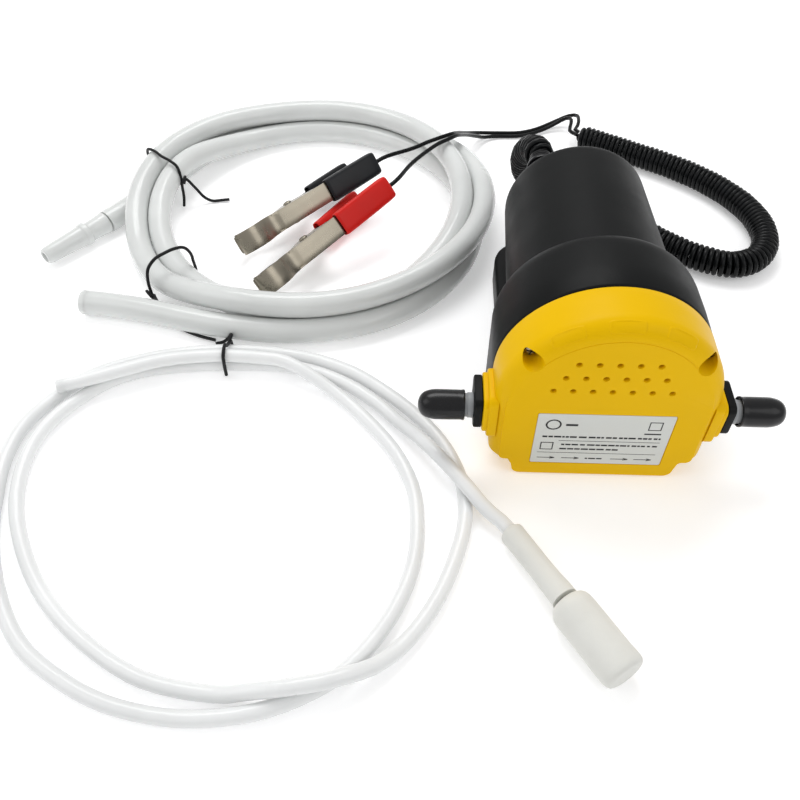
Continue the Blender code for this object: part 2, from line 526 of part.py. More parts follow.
prism(bm, [(y * math.cos(tilt) - z * math.sin(tilt), y * math.sin(tilt) + z * math.cos(tilt)) for y, z in rk],
      lambda p, a: (a, ROCKER_Y + p[0], SWITCH_Z + p[1]), SWITCH_X - 4.2, SWITCH_X + 4.2)
make("switch_rocker", bm, RUBBER, origin=(SWITCH_X, ROCKER_Y, SWITCH_Z))

# ---------------------------------------------------------------- cord gland
g = bmesh.new()
lathe(g, [(2.6, TAIL_END_Y - 6), (5.2, TAIL_END_Y - 6), (5.2, TAIL_END_Y + GAP), (8.2, TAIL_END_Y + GAP), (8.2, TAIL_END_Y + 2.2), (6.8, TAIL_END_Y + 2.8), (6.2, PUMP_LENGTH), (2.6, PUMP_LENGTH)],
      (GLAND_X, 0, GLAND_Z), Y_AXIS, 24)
make("cord_gland", g, RUBBER)

# ---------------------------------------------------------------- curly cord: one fat tube
COIL_Z = COIL_OD / 2 + 0.15
COIL_ROUTE = [
    (GLAND_X, PUMP_LENGTH + GAP, GLAND_Z), (-21, 172, 69.4), (-24, 183, 63), (-25, 193, 50), (-20, 203, 33), (-7, 208, 18),
    (12, 204, 10), (32, 195, COIL_Z), (50, 183, COIL_Z), (66, 168, COIL_Z), (84, 156, COIL_Z), (101, 151, COIL_Z), (116, 157, COIL_Z),
    (125, 171, COIL_Z), (127, 188, COIL_Z), (123, 206, COIL_Z), (113, 224, COIL_Z), (98, 241, COIL_Z), (79, 256, COIL_Z),
    (58, 269, COIL_Z), (40, 280, COIL_Z), (24, 289, COIL_Z)]
COIL_DIR = (Vector(COIL_ROUTE[-1]) - Vector(COIL_ROUTE[-2])).normalized()
tube("power_coil_cord", COIL_ROUTE, COIL_OD, CORD, 13.0, 3, Y_AXIS, COIL_DIR)

# ---------------------------------------------------------------- battery clips
CLIP_W = 12.0             # jaw width along the rivet
CLIP_TIP, CLIP_END = 42.0, 58.0
CLIPS = {"black": ((-165.0, 182.7, 16.6), 227.0, 4.0, 37.0), "red": ((-151.0, 149.0, 16.6), 233.0, 5.0, 41.0)}
JAW_RANGE = 28.0


def clip_matrix(place):
    (x, y, z), yaw, pitch, roll = place
    return Matrix.Translation((x, y, z)) @ Matrix.Rotation(math.radians(yaw), 4, "Z") @ Matrix.Rotation(math.radians(pitch), 4, "Y") @ Matrix.Rotation(math.radians(roll), 4, "X")


# outer line of one half, from the jaw's tip to the handle's end: (x, y)
HALF_LINE = [(42.0, 1.2), (41.0, 3.6), (37.0, 6.6), (31.5, 8.2), (25.5, 7.6), (20.5, 5.6), (16.5, 5.4), (11.0, 7.0), (0.0, 9.3), (-19.0, 12.4), (-54.0, 17.8)]


def offset_line(line, t):
    """The line moved by t towards y = 0, for a line that runs from the tip to the handle's end."""
    out = []
    for i, p in enumerate(line):
        a = line[max(0, i - 1)]
        b = line[min(len(line) - 1, i + 1)]
        d = Vector((b[0] - a[0], b[1] - a[1])).normalized()
        out.append((p[0] - d.y * t, max(p[1] + d.x * t, 0.15)))
    return out


def clip_half(name, place, side, m, half_w):
    """side +1 is the half with y > 0. A bent web with two flanges that carry the rivet."""
    M = clip_matrix(place)
    inner = offset_line(HALF_LINE, 1.0)
    outline = HALF_LINE + list(reversed(inner))
    put = lambda p, a: M @ Vector((p[0], side * p[1], a))
    bm = bmesh.new()
    prism(bm, outline, put, -half_w, half_w)
    ob = make(name, bm, m, origin=tuple(M @ Vector((0, 0, 0))))
    fl = [(15.0, 6.6), (9.0, 1.0), (4.6, -3.2), (0.0, -4.4), (-4.6, -3.2), (-9.0, 2.0), (-16.2, 10.2), (-16.6, 11.6), (0.0, 8.7), (11.0, 6.4)]
    for tag, a0, a1 in (("lo", -half_w, -half_w + 0.9), ("hi", half_w - 0.9, half_w)):
        f = bmesh.new()
        prism(f, fl, put, a0, a1)
        boolean(ob, make("cut_%s_%s" % (name, tag), f, None, cutter=True), "UNION")
    hole = bmesh.new()
    rod(hole, 2.1, -12, 12, tuple(M @ Vector((0, 0, 0))), tuple(M.to_3x3() @ Vector((0, 0, 1))), 12)
    boolean(ob, make("cut_hole_" + name, hole, None, cutter=True))
    return ob


def clip_boot(name, place, side, m):
    """Moulded sleeve over the handle, with a slot that the handle sits in."""
    M = clip_matrix(place)
    slope = math.atan2(17.8 - 12.4, -54.0 + 19.0)
    c, s = math.cos(slope), math.sin(slope)

    def put(p, t):
        # p across the sleeve (across, along the rivet); t runs from the jaw side to the end
        bx, by = -19.0 + c * t, 12.4 + s * t
        return M @ Vector((bx + s * p[0], side * (by - c * p[0]), p[1]))

    bm = bmesh.new()
    rings = []
    for t, k in ((0.0, 0.94), (1.2, 1.0), (36.0, 1.0), (39.6, 0.95), (40.6, 0.80)):
        rings.append([put((q[0] * k - 0.5, q[1] * k), t) for q in rounded(-3.4, 3.4, -7.4, 7.4, 2.2, 3)])
    loft(bm, rings)
    ob = make(name, bm, m)
    slot = bmesh.new()
    loft(slot, [[put(q, t) for q in ((-1.4, -6.4), (0.4, -6.4), (0.4, 6.4), (-1.4, 6.4))] for t in (-3.0, 36.6)])
    boolean(ob, make("cut_" + name, slot, None, cutter=True))
    return ob


for colour, place in CLIPS.items():
    M = clip_matrix(place)
    c0, axis = tuple(M @ Vector((0, 0, 0))), tuple(M.to_3x3() @ Vector((0, 0, 1)))
    clip_half("clip_%s_fixed_jaw" % colour, place, 1, STEEL, CLIP_W / 2)
    clip_half("clip_%s_moving_jaw" % colour, place, -1, STEEL, CLIP_W / 2 - 1.3)
    boot_mat = BOOT_K if colour == "black" else BOOT_R
    clip_boot("clip_%s_fixed_boot" % colour, place, 1, boot_mat)
    clip_boot("clip_%s_moving_boot" % colour, place, -1, boot_mat)
    bm = bmesh.new()
    lathe(bm, [(0, -7.4), (2.4, -7.3), (3.0, -6.9), (3.0, -6.3), (1.8, -6.3), (1.8, 6.3), (3.0, 6.3), (3.0, 6.9), (2.4, 7.3), (0, 7.4)], c0, axis, 14)
    make("clip_%s_rivet" % colour, bm, STEEL)
    bm = bmesh.new()
    ring(bm, 2.1, 3.9, -3.4, 3.4, c0, axis, 18)
    make("clip_%s_spring" % colour, bm, DARKSTEEL)


def boot_end(colour, side=1, reach=41.4):
    M = clip_matrix(CLIPS[colour])
    slope = math.atan2(17.8 - 12.4, -54.0 + 19.0)
    return M @ Vector((-19.0 + math.cos(slope) * reach, side * (12.4 + math.sin(slope) * reach), 0))


# ---------------------------------------------------------------- the two leads to the clips
COIL_FACE = Vector(COIL_ROUTE[-1])
SIDEWAYS = Vector((-COIL_DIR.y, COIL_DIR.x, 0)).normalized()
RING_TOP = 28.4
LEAD_WAY = {
    "black": [(24.4, 297.0, 12.4), (25.8, 305.5, 12.0), (25.8, 312.0, 10.8), (22.8, 316.0, 9.0), (17.9, 317.4, 6.5), (8.7, 314.5, 3.5), (-3.4, 307.8, 2.0), (-15.3, 303.5, 1.6), (-31.7, 302.5, 1.6), (-42.1, 299.2, 3.5), (-49.8, 291.7, 8), (-56.1, 279.7, 15), (-61.8, 265.4, 23.6), (-66.7, 253.3, 29.8), (-71.4, 248.7, 30.8), (-76.6, 244.8, 31), (-81.8, 241.2, 31), (-91.0, 233.7, 31)],
    "red": [(18.6, 293.6, 9.8), (20.2, 301.4, 10.8), (20.8, 307.8, 10.8), (18.4, 311.6, 9.0), (14.6, 312.4, 6.5), (7.2, 309.6, 3.5), (-4.4, 303.2, 2.0), (-16.0, 299.0, 1.6), (-31.9, 298.0, 1.6), (-41.6, 294.0, 3.2), (-46.6, 288.2, 7.2), (-53.0, 278.0, 14.2), (-58.8, 264.0, 22.8), (-63.7, 251.8, 29.4), (-69.0, 245.2, 30.6), (-74.4, 240.2, 31), (-80.2, 233.2, 31), (-86.6, 223.6, 31.5), (-92.8, 212.0, 32.5)],
}
for name, colour, dy in (("lead_black", "black", -1.8), ("lead_red", "red", 1.8)):
    start = COIL_FACE + COIL_DIR * GAP + SIDEWAYS * dy + Vector((0, 0, 2.0))
    end = boot_end(colour)
    back = clip_matrix(CLIPS[colour]).to_3x3() @ Vector((-1, 0.15, 0)).normalized()
    e1 = end + back * 8
    top = RING_TOP + LEAD_D / 2 + 0.6
    mid = LEAD_WAY[colour]
    route = [start, start + COIL_DIR * 3 + Vector((0, 0, 0.4))] + [Vector(p) for p in mid] + [e1, end]
    tube(name, [tuple(p) for p in route], LEAD_D, CORD, 5.4, 2, COIL_DIR, -back)

# ---------------------------------------------------------------- thick hose: coil, two free ends, adapter
bm = bmesh.new()
prof = [(88.4, 4.0), (91.4, 0.4), (113.2, 0.4), (116.4, 4.0), (116.4, 14.0), (111.0, 22.0), (106.0, 26.4), (102.0, RING_TOP - 0.4), (98.0, RING_TOP - 0.4), (93.0, 25.5), (88.4, 17.0)]
lathe(bm, prof, (RING_X, RING_Y, 0), Z_AXIS, 56)
make("discharge_hose_coil", bm, HOSE)
HZ = HOSE_D / 2 + 0.15
tube("discharge_hose_end", [(-276.0, 107.0, HZ), (-263.0, 105.6, HZ), (-250.0, 103.6, HZ), (-239.0, 101.4, HZ), (-231.2, 99.6, HZ)], HOSE_D, HOSE, 9.0, 4)
tube("discharge_hose_lead", [(-276.6, 190.2, HZ), (-280.0, 185.6, HZ), (-283.0, 181.6, HZ)], HOSE_D, HOSE, 6.0, 4, None, (-0.62, -0.785, 0.0))
a0 = Vector((-283.1, 181.4, HZ))
ad = Vector((-0.62, -0.785, 0.0)).normalized()
bm = bmesh.new()
lathe(bm, [(3.4, 0.2), (6.4, 0.2), (6.6, 1.2), (5.9, 12.0), (6.0, 14.0), (7.1, 14.6), (7.1, 17.4), (6.2, 18.4), (5.4, 42.0), (4.6, 44.8), (3.2, 45.4), (3.2, 20.0)], tuple(a0), tuple(ad), 24)
make("hose_adapter", bm, STRAIN)

# ---------------------------------------------------------------- thin suction tube and its strainer
TZ = TUBE_D / 2 + 0.1
OVER = TZ + TUBE_D + 0.25


def loop_route():
    first = [(-269, 39, OVER), (-254, 45, OVER), (-238, 52, OVER), (-221, 59, OVER), (-204, 62.5, OVER), (-187, 64, OVER), (-168, 63, OVER), (-156, 61.5, OVER - 0.2), (-146, 56.5, 9.6), (-133, 49.0, 6.0), (-120, 39, TZ), (-109, 27, TZ), (-98, 13, TZ)]
    right_in = [(-91, 1, TZ), (-85, -15, TZ), (-83, -33, TZ), (-84, -52, TZ), (-90, -72, TZ), (-100, -90, TZ), (-113, -105, TZ), (-128, -114.5, TZ), (-143, -120.5, TZ), (-158, -123.5, TZ), (-173, -124.5, TZ), (-189, -123, TZ), (-206, -119, TZ), (-224, -111, TZ)]
    left_out = [(-245, -97, TZ), (-262, -75, TZ), (-275, -48, TZ), (-282, -21, TZ), (-284.5, -3, TZ), (-283, 16, TZ), (-276.5, 31, TZ), (-260, 52, TZ), (-230, 67.5, TZ), (-192, 74.5, TZ), (-149, 71.5, TZ), (-121, 61.5, TZ), (-101, 47, TZ)]
    right_out = [(-85, 32, TZ), (-72, 15, TZ), (-64, -3, TZ), (-61, -18, TZ), (-61.5, -33, TZ), (-66, -51, TZ), (-74, -71, TZ), (-86, -89.5, TZ), (-99, -102, 6.6), (-110, -108, OVER - 0.4), (-119, -111, OVER), (-129, -113, OVER), (-138, -114, OVER - 1.2), (-148, -114.4, 7.4), (-159, -114.5, TZ), (-176, -113, TZ)]
    left_in = [(-193, -109, TZ), (-211, -100, TZ), (-233, -84, TZ), (-249, -67, TZ), (-262, -47, TZ), (-270, -29, TZ), (-273.5, -14, TZ), (-274.5, 0, TZ), (-273, 12, TZ), (-269, 23, TZ), (-261, 35.5, TZ), (-247, 50, TZ), (-228, 59, TZ), (-190, 64.5, TZ), (-153, 64, TZ), (-126, 54.5, TZ), (-106, 40, TZ)]
    out = [(-94, 27, 4.4), (-84, 15.5, 7.4), (-75, 3.5, OVER - 0.8), (-66, -8.5, OVER), (-59, -18, OVER - 0.2), (-52, -26.4, 8.2), (-46, -31.0, 6.6), (-42.6, -34.6, 6.3)]
    return first + right_in + left_out + right_out + left_in + out


s0 = Vector((-41.0, -37.2, 6.4))
s1 = Vector((-19.4, -73.4, 9.9))
s2 = Vector((0.6, -104.4, 9.9))
d1, d2 = (s1 - s0).normalized(), (s2 - s1).normalized()
L1, L2 = (s1 - s0).length, (s2 - s1).length
tube("suction_tube", loop_route() + [tuple(s0 - d1 * (GAP + 0.05))], TUBE_D, TUBE, 17.5, 2, None, d1)
bm = bmesh.new()
lathe(bm, [(0, 0.0), (5.4, 0.0), (5.9, 0.8), (5.9, L1 - 2.2), (0, L1 - 2.2)], tuple(s0), tuple(d1), 20)
make("strainer_sleeve", bm, STRAIN)
bm = bmesh.new()
lathe(bm, [(0, -1.0), (6.6, -1.0), (8.6, 0.0), (9.7, 3.0), (9.7, L2 - 2.0), (9.0, L2 - 0.6), (7.6, L2), (0, L2)], tuple(s1), tuple(d2), 28)
make("strainer_body", bm, STRAIN)


# ---------------------------------------------------------------- twist ties: arches over the coil and over the tube bundle
def arch_over(name, centre_angle):
    c, s = math.cos(math.radians(centre_angle)), math.sin(math.radians(centre_angle))
    prof2 = [(86.9, 1.4), (86.9, 12.0), (87.0, 21.0), (91.6, 28.4), (97.0, 29.9), (108.2, 29.9), (113.4, 28.6), (117.9, 21.0), (118.0, 12.0), (118.0, 1.4)]
    tube(name, [(RING_X + r * c, RING_Y + r * s, z) for r, z in prof2], 2.0, TIE, 5.0, 2)


arch_over("hose_tie_upper", 152.0)
arch_over("hose_tie_lower", 222.0)
tube("tube_tie", [(-184.5, 80.0, 1.4), (-184.5, 79.6, 6.5), (-184.3, 74.0, 9.4), (-184.0, 68.9, 14.8), (-184.0, 64.0, 16.0), (-184.0, 59.6, 13.0), (-184.0, 58.6, 6.5), (-184.0, 58.4, 1.4)], 2.0, TIE, 4.5, 2)
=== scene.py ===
import bpy
import bmesh
import json
import math
from mathutils import Matrix, Vector


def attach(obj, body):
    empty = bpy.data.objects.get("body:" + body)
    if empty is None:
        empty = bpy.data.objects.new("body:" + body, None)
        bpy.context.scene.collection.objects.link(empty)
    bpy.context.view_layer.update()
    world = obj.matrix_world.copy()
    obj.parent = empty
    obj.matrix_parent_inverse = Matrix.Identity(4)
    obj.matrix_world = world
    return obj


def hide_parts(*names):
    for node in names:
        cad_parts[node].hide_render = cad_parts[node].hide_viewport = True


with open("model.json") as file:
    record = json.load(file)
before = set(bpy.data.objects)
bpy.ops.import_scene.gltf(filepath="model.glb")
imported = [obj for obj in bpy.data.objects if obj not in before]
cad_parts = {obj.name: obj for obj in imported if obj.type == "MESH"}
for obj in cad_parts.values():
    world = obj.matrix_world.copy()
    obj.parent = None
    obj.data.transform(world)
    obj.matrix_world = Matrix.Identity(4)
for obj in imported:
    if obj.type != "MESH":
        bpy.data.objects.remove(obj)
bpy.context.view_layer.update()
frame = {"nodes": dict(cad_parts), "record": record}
BODY = "body"
MM = 0.001
Y_SHIFT = -81.5            # pump millimetres (y from the front face) to the row frame


def W(p):
    return Vector((p[0] * MM, (p[1] + Y_SHIFT) * MM, p[2] * MM))


# ------------------------------------------------------------------ camera
cam_data = bpy.data.cameras.new("camera")
cam_data.sensor_width = 36.0
cam_data.lens = 37.125
cam_data.clip_start = 0.01
cam_data.clip_end = 20.0
cam = bpy.data.objects.new("camera", cam_data)
bpy.context.scene.collection.objects.link(cam)
cam.location = W((-84.15, -238.1, 326.0))
cam.rotation_euler = (math.radians(41.0), 0.0, math.radians(1.9))
bpy.context.scene.camera = cam


# ------------------------------------------------------------------ material helpers
class Nodes:
    """A small hand for building one Principled material out of procedural nodes."""

    def __init__(self, name):
        self.m = bpy.data.materials.new(name)
        self.m.use_nodes = True
        self.t = self.m.node_tree
        self.b = self.t.nodes["Principled BSDF"]
        self.co = None

    def set(self, **kw):
        for k, v in kw.items():
            self.b.inputs[k.replace("_", " ")].default_value = v
        return self

    def coords(self, kind="Object"):
        n = self.t.nodes.new("ShaderNodeTexCoord")
        return n.outputs[kind]

    def noise(self, scale, detail=4.0, rough=0.55, stretch=None, distortion=0.0):
        n = self.t.nodes.new("ShaderNodeTexNoise")
        n.inputs["Scale"].default_value = scale
        n.inputs["Detail"].default_value = detail
        n.inputs["Roughness"].default_value = rough
        n.inputs["Distortion"].default_value = distortion
        src = self.coords()
        if stretch:
            mp = self.t.nodes.new("ShaderNodeMapping")
            mp.inputs["Scale"].default_value = stretch
            self.t.links.new(src, mp.inputs["Vector"])
            src = mp.outputs["Vector"]
        self.t.links.new(src, n.inputs["Vector"])
        return n.outputs["Fac"]

    def voronoi(self, scale, feature="F1"):
        n = self.t.nodes.new("ShaderNodeTexVoronoi")
        n.feature = feature
        n.inputs["Scale"].default_value = scale
        self.t.links.new(self.coords(), n.inputs["Vector"])
        return n.outputs["Distance"]

    def ramp(self, fac, stops):
        n = self.t.nodes.new("ShaderNodeValToRGB")
        e = n.color_ramp.elements
        while len(e) > 1:
            e.remove(e[-1])
        e[0].position, e[0].color = stops[0][0], self._c(stops[0][1])
        for pos, c in stops[1:]:
            x = e.new(pos)
            x.color = self._c(c)
        self.t.links.new(fac, n.inputs["Fac"])
        return n.outputs["Color"]

    @staticmethod
    def _c(c):
        return (c, c, c, 1.0) if isinstance(c, (int, float)) else (*c, 1.0)

    def mix(self, fac, a, b):
        n = self.t.nodes.new("ShaderNodeMix")
        n.data_type = "RGBA"
        if isinstance(fac, (int, float)):
            n.inputs[0].default_value = fac
        else:
            self.t.links.new(fac, n.inputs[0])
        for sock, v in ((n.inputs[6], a), (n.inputs[7], b)):
            if isinstance(v, tuple):
                sock.default_value = self._c(v)
            else:
                self.t.links.new(v, sock)
        return n.outputs[2]

    def math(self, op, a, b=0.0, c=None):
        n = self.t.nodes.new("ShaderNodeMath")
        n.operation = op
        for i, v in enumerate((a, b) if c is None else (a, b, c)):
            if isinstance(v, (int, float)):
                n.inputs[i].default_value = v
            else:
                self.t.links.new(v, n.inputs[i])
        return n.outputs[0]

    def edges(self, radius=0.0012):
        """The mesh's pointiness: higher on convex edges than on open surface."""
        g = self.t.nodes.new("ShaderNodeNewGeometry")
        return g.outputs["Pointiness"]

    def link(self, out, name):
        self.t.links.new(out, self.b.inputs[name])
        return self

    def bump(self, height, strength, distance=0.0004):
        n = self.t.nodes.new("ShaderNodeBump")
        n.inputs["Strength"].default_value = strength
        n.inputs["Distance"].default_value = distance
        self.t.links.new(height, n.inputs["Height"])
        prev = getattr(self, "last_bump", None)
        if prev is not None:
            self.t.links.new(prev, n.inputs["Normal"])
        self.last_bump = n.outputs["Normal"]
        self.t.links.new(n.outputs["Normal"], self.b.inputs["Normal"])
        return self


def plastic(name, rgb, rough, grain=900.0, grain_strength=0.12, vary=0.06, rough_vary=0.08, coat=0.0, spec=0.16, sss=0.0):
    n = Nodes(name)
    n.set(Roughness=rough, Metallic=0.0)
    n.b.inputs["Specular IOR Level"].default_value = spec
    cloud = n.noise(28.0, 5.0, 0.6)
    dark = tuple(c * (1 - vary) for c in rgb)
    light = tuple(min(1.0, c * (1 + vary)) for c in rgb)
    n.link(n.ramp(cloud, [(0.3, dark), (0.7, light)]), "Base Color")
    n.link(n.ramp(n.noise(55.0, 4.0, 0.6), [(0.25, max(0.02, rough - rough_vary)), (0.75, min(1.0, rough + rough_vary))]), "Roughness")
    n.bump(n.noise(grain, 3.0, 0.6), grain_strength, 0.0002)
    if coat:
        n.b.inputs["Coat Weight"].default_value = coat
        n.b.inputs["Coat Roughness"].default_value = 0.12
    if sss:
        n.b.inputs["Subsurface Weight"].default_value = sss
        n.b.inputs["Subsurface Radius"].default_value = (0.01, 0.01, 0.01)
        n.b.inputs["Subsurface Scale"].default_value = 0.3
    return n


def metal(name, rgb, rough, brushed=None, scratch=0.1):
    n = Nodes(name)
    n.set(Metallic=1.0, Roughness=rough)
    cloud = n.noise(90.0, 4.0, 0.6)
    n.link(n.ramp(cloud, [(0.25, tuple(c * 0.93 for c in rgb)), (0.75, tuple(min(1.0, c * 1.04) for c in rgb))]), "Base Color")
    n.link(n.ramp(n.noise(90.0, 6.0, 0.7), [(0.3, max(0.03, rough - 0.04)), (0.7, rough + 0.05)]), "Roughness")
    n.bump(n.noise(500.0, 4.0, 0.6, stretch=brushed), scratch, 0.0001)
    return n


MAT = {}
MAT["yellow_plastic"] = plastic("yellow_plastic", (0.76, 0.455, 0.0), 0.40, 1500.0, 0.06, 0.02, 0.06, spec=0.07).m
MAT["black_housing_plastic"] = plastic("black_housing_plastic", (0.0055, 0.0060, 0.0062), 0.44, 2200.0, 0.20, 0.12, 0.06, spec=0.10).m
MAT["black_cap_rubber"] = plastic("black_cap_rubber", (0.006, 0.006, 0.007), 0.24, 700.0, 0.04, 0.15, 0.06, spec=0.30).m
MAT["grey_port_plastic"] = plastic("grey_port_plastic", (0.30, 0.31, 0.32), 0.35, 1200.0, 0.10, 0.06, 0.06).m
MAT["label_film"] = plastic("label_film", (0.62, 0.635, 0.61), 0.32, 500.0, 0.03, 0.02, 0.05).m
MAT["plated_steel"] = metal("plated_steel", (0.31, 0.28, 0.225), 0.28, None, 0.02).m
MAT["dark_steel"] = metal("dark_steel", (0.30, 0.30, 0.32), 0.42).m
MAT["cast_aluminium"] = metal("cast_aluminium", (0.60, 0.61, 0.62), 0.52).m
MAT["sintered_brass"] = metal("sintered_brass", (0.70, 0.50, 0.20), 0.45).m
MAT["copper"] = metal("copper", (0.72, 0.36, 0.20), 0.35).m
MAT["ferrite"] = plastic("ferrite", (0.09, 0.09, 0.10), 0.75, 900.0, 0.3).m
MAT["carbon"] = plastic("carbon", (0.04, 0.04, 0.04), 0.85, 900.0, 0.3).m
MAT["black_cord_pvc"] = plastic("black_cord_pvc", (0.0035, 0.004, 0.0045), 0.28, 900.0, 0.04, 0.1, 0.06, spec=0.16).m
MAT["black_boot_pvc"] = plastic("black_boot_pvc", (0.008, 0.009, 0.011), 0.34, 900.0, 0.05, 0.1, 0.06, spec=0.25).m
MAT["red_boot_pvc"] = plastic("red_boot_pvc", (0.60, 0.012, 0.008), 0.34, 900.0, 0.05, 0.06, 0.06, spec=0.2).m
MAT["white_strainer_pe"] = plastic("white_strainer_pe", (0.68, 0.68, 0.645), 0.50, 420.0, 0.35, 0.05, 0.06, sss=0.15).m
MAT["black_tie"] = plastic("black_tie", (0.012, 0.012, 0.013), 0.45, 900.0, 0.1).m


def hose_material(name, tint, rough, trans, streak):
    n = Nodes(name)
    n.set(Roughness=rough, IOR=1.36)
    n.b.inputs["Transmission Weight"].default_value = 0.0
    n.b.inputs["Specular IOR Level"].default_value = 0.30
    n.b.inputs["Subsurface Weight"].default_value = trans
    n.b.inputs["Subsurface Radius"].default_value = (0.006, 0.006, 0.006)
    n.b.inputs["Subsurface Scale"].default_value = 1.0
    n.b.inputs["Coat Weight"].default_value = 0.35
    n.b.inputs["Coat Roughness"].default_value = 0.10
    cloud = n.noise(18.0, 3.0, 0.6)
    n.link(n.ramp(cloud, [(0.3, tuple(c * 0.90 for c in tint)), (0.7, tint)]), "Base Color")
    n.link(n.ramp(n.noise(40.0, 4.0, 0.6), [(0.3, rough - 0.08), (0.7, rough + 0.08)]), "Roughness")
    n.bump(n.noise(900.0, 2.0, 0.5), streak, 0.00004)
    return n.m


MAT["clear_hose_pvc"] = hose_material("clear_hose_pvc", (0.68, 0.695, 0.685), 0.20, 0.35, 0.05)
MAT["milky_tube_pe"] = hose_material("milky_tube_pe", (0.80, 0.81, 0.81), 0.32, 0.25, 0.05)

# every CAD node starts from its own slot's finish
for sp in frame["record"]["subparts"]:
    ob = frame["nodes"].get(sp["node"])
    if ob is None:
        continue
    ob.data.materials.clear()
    ob.data.materials.append(MAT[sp["material_slot"]])


# ------------------------------------------------------------------ routes
def spline(route, step, closed=False):
    """Evenly spaced points on a centripetal curve through the route."""
    P = [Vector(p) for p in route]
    P = [P[0] * 2 - P[1]] + P + [P[-1] * 2 - P[-2]]
    fine = []
    for i in range(1, len(P) - 2):
        p0, p1, p2, p3 = P[i - 1:i + 3]
        t0 = 0.0
        t1 = t0 + max((p1 - p0).length, 1e-6) ** 0.5
        t2 = t1 + max((p2 - p1).length, 1e-6) ** 0.5
        t3 = t2 + max((p3 - p2).length, 1e-6) ** 0.5
        for k in range(10):
            t = t1 + (t2 - t1) * k / 10
            a1 = p0 * ((t1 - t) / (t1 - t0)) + p1 * ((t - t0) / (t1 - t0))
            a2 = p1 * ((t2 - t) / (t2 - t1)) + p2 * ((t - t1) / (t2 - t1))
            a3 = p2 * ((t3 - t) / (t3 - t2)) + p3 * ((t - t2) / (t3 - t2))
            b1 = a1 * ((t2 - t) / (t2 - t0)) + a2 * ((t - t0) / (t2 - t0))
            b2 = a2 * ((t3 - t) / (t3 - t1)) + a3 * ((t - t1) / (t3 - t1))
            fine.append(b1 * ((t2 - t) / (t2 - t1)) + b2 * ((t - t1) / (t2 - t1)))
    fine.append(P[-2])
    return resample(fine, step)


def resample(fine, step):
    cum = [0.0]
    for a, b in zip(fine, fine[1:]):
        cum.append(cum[-1] + (b - a).length)
    n = max(2, round(cum[-1] / step))
    out, j = [], 0
    for i in range(n + 1):
        s = cum[-1] * i / n
        while j < len(cum) - 2 and cum[j + 1] < s:
            j += 1
        f = (s - cum[j]) / max(cum[j + 1] - cum[j], 1e-9)
        out.append(fine[j].lerp(fine[j + 1], min(1.0, max(0.0, f))))
    return out


def smooth(points, rounds=2):
    for _ in range(rounds):
        points = [points[0]] + [(a + b * 2 + c) / 4 for a, b, c in zip(points, points[1:], points[2:])] + [points[-1]]
    return points


def length_of(points):
    return sum((b - a).length for a, b in zip(points, points[1:]))


def curve(name, points, diameter, material, res=4, body=BODY, radii=None):
    """A round cord through points in pump millimetres."""
    cu = bpy.data.curves.new(name, "CURVE")
    cu.dimensions = "3D"
    cu.bevel_depth = diameter / 2 * MM
    cu.bevel_resolution = res
    cu.use_fill_caps = True
    sp = cu.splines.new("POLY")
    sp.points.add(len(points) - 1)
    for i, (q, p) in enumerate(zip(sp.points, points)):
        w = W(p)
        q.co = (w.x, w.y, w.z, 1.0)
        if radii:
            q.radius = radii[i]
    sp.use_smooth = True
    ob = bpy.data.objects.new(name, cu)
    cu.materials.append(material)
    bpy.context.scene.collection.objects.link(ob)
    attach(ob, body)
    return ob


def on_floor(points, r):
    for p in points:
        p.z = max(p.z, r + 0.05)
    return points


# ------------------------------------------------------------------ curly power cord
COIL_OD, WIRE_D, PITCH = 16.5, 3.2, 3.3
COIL_Z = COIL_OD / 2 + 0.15
COIL_ROUTE = [
    (-20.0, 163.3, 70.0), (-21, 172, 69.4), (-24, 183, 63), (-25, 193, 50), (-20, 203, 33), (-7, 208, 18),
    (12, 204, 10), (32, 195, COIL_Z), (50, 183, COIL_Z), (66, 168, COIL_Z), (84, 156, COIL_Z), (101, 151, COIL_Z), (116, 157, COIL_Z),
    (125, 171, COIL_Z), (127, 188, COIL_Z), (123, 206, COIL_Z), (113, 224, COIL_Z), (98, 241, COIL_Z), (79, 256, COIL_Z),
    (58, 269, COIL_Z), (40, 280, COIL_Z), (24, 289, COIL_Z)]


def helix(axis_points, radius, pitch, per_turn=14, ramp=1.3):
    """A helix round a line; its ends run in to the line's own ends."""
    total = length_of(axis_points)
    turns = total / pitch
    cum = [0.0]
    for a, b in zip(axis_points, axis_points[1:]):
        cum.append(cum[-1] + (b - a).length)
    tang = [(axis_points[min(i + 1, len(axis_points) - 1)] - axis_points[max(i - 1, 0)]).normalized() for i in range(len(axis_points))]
    ref = Vector((0, 0, 1)) - tang[0] * tang[0].z
    ref.normalize()
    norms = [ref]
    for i in range(1, len(tang)):
        r = norms[-1] - tang[i] * norms[-1].dot(tang[i])
        norms.append(r.normalized())
    out, j = [], 0
    n = int(turns * per_turn)
    for i in range(n + 1):
        s = total * i / n
        while j < len(cum) - 2 and cum[j + 1] < s:
            j += 1
        f = (s - cum[j]) / (cum[j + 1] - cum[j])
        c = axis_points[j].lerp(axis_points[j + 1], f)
        t = tang[j].lerp(tang[j + 1], f).normalized()
        u = norms[j].lerp(norms[j + 1], f)
        u = (u - t * u.dot(t)).normalized()
        v = t.cross(u)
        turn = s / pitch
        k = min(1.0, turn / ramp, (turns - turn) / ramp)
        k = k * k * (3 - 2 * k)
        wob = 1.0 + 0.012 * math.sin(turn * 0.9) + 0.010 * math.sin(turn * 2.3)
        a = 2 * math.pi * turn
        out.append(c + (u * math.cos(a) + v * math.sin(a)) * radius * k * wob)
    return out


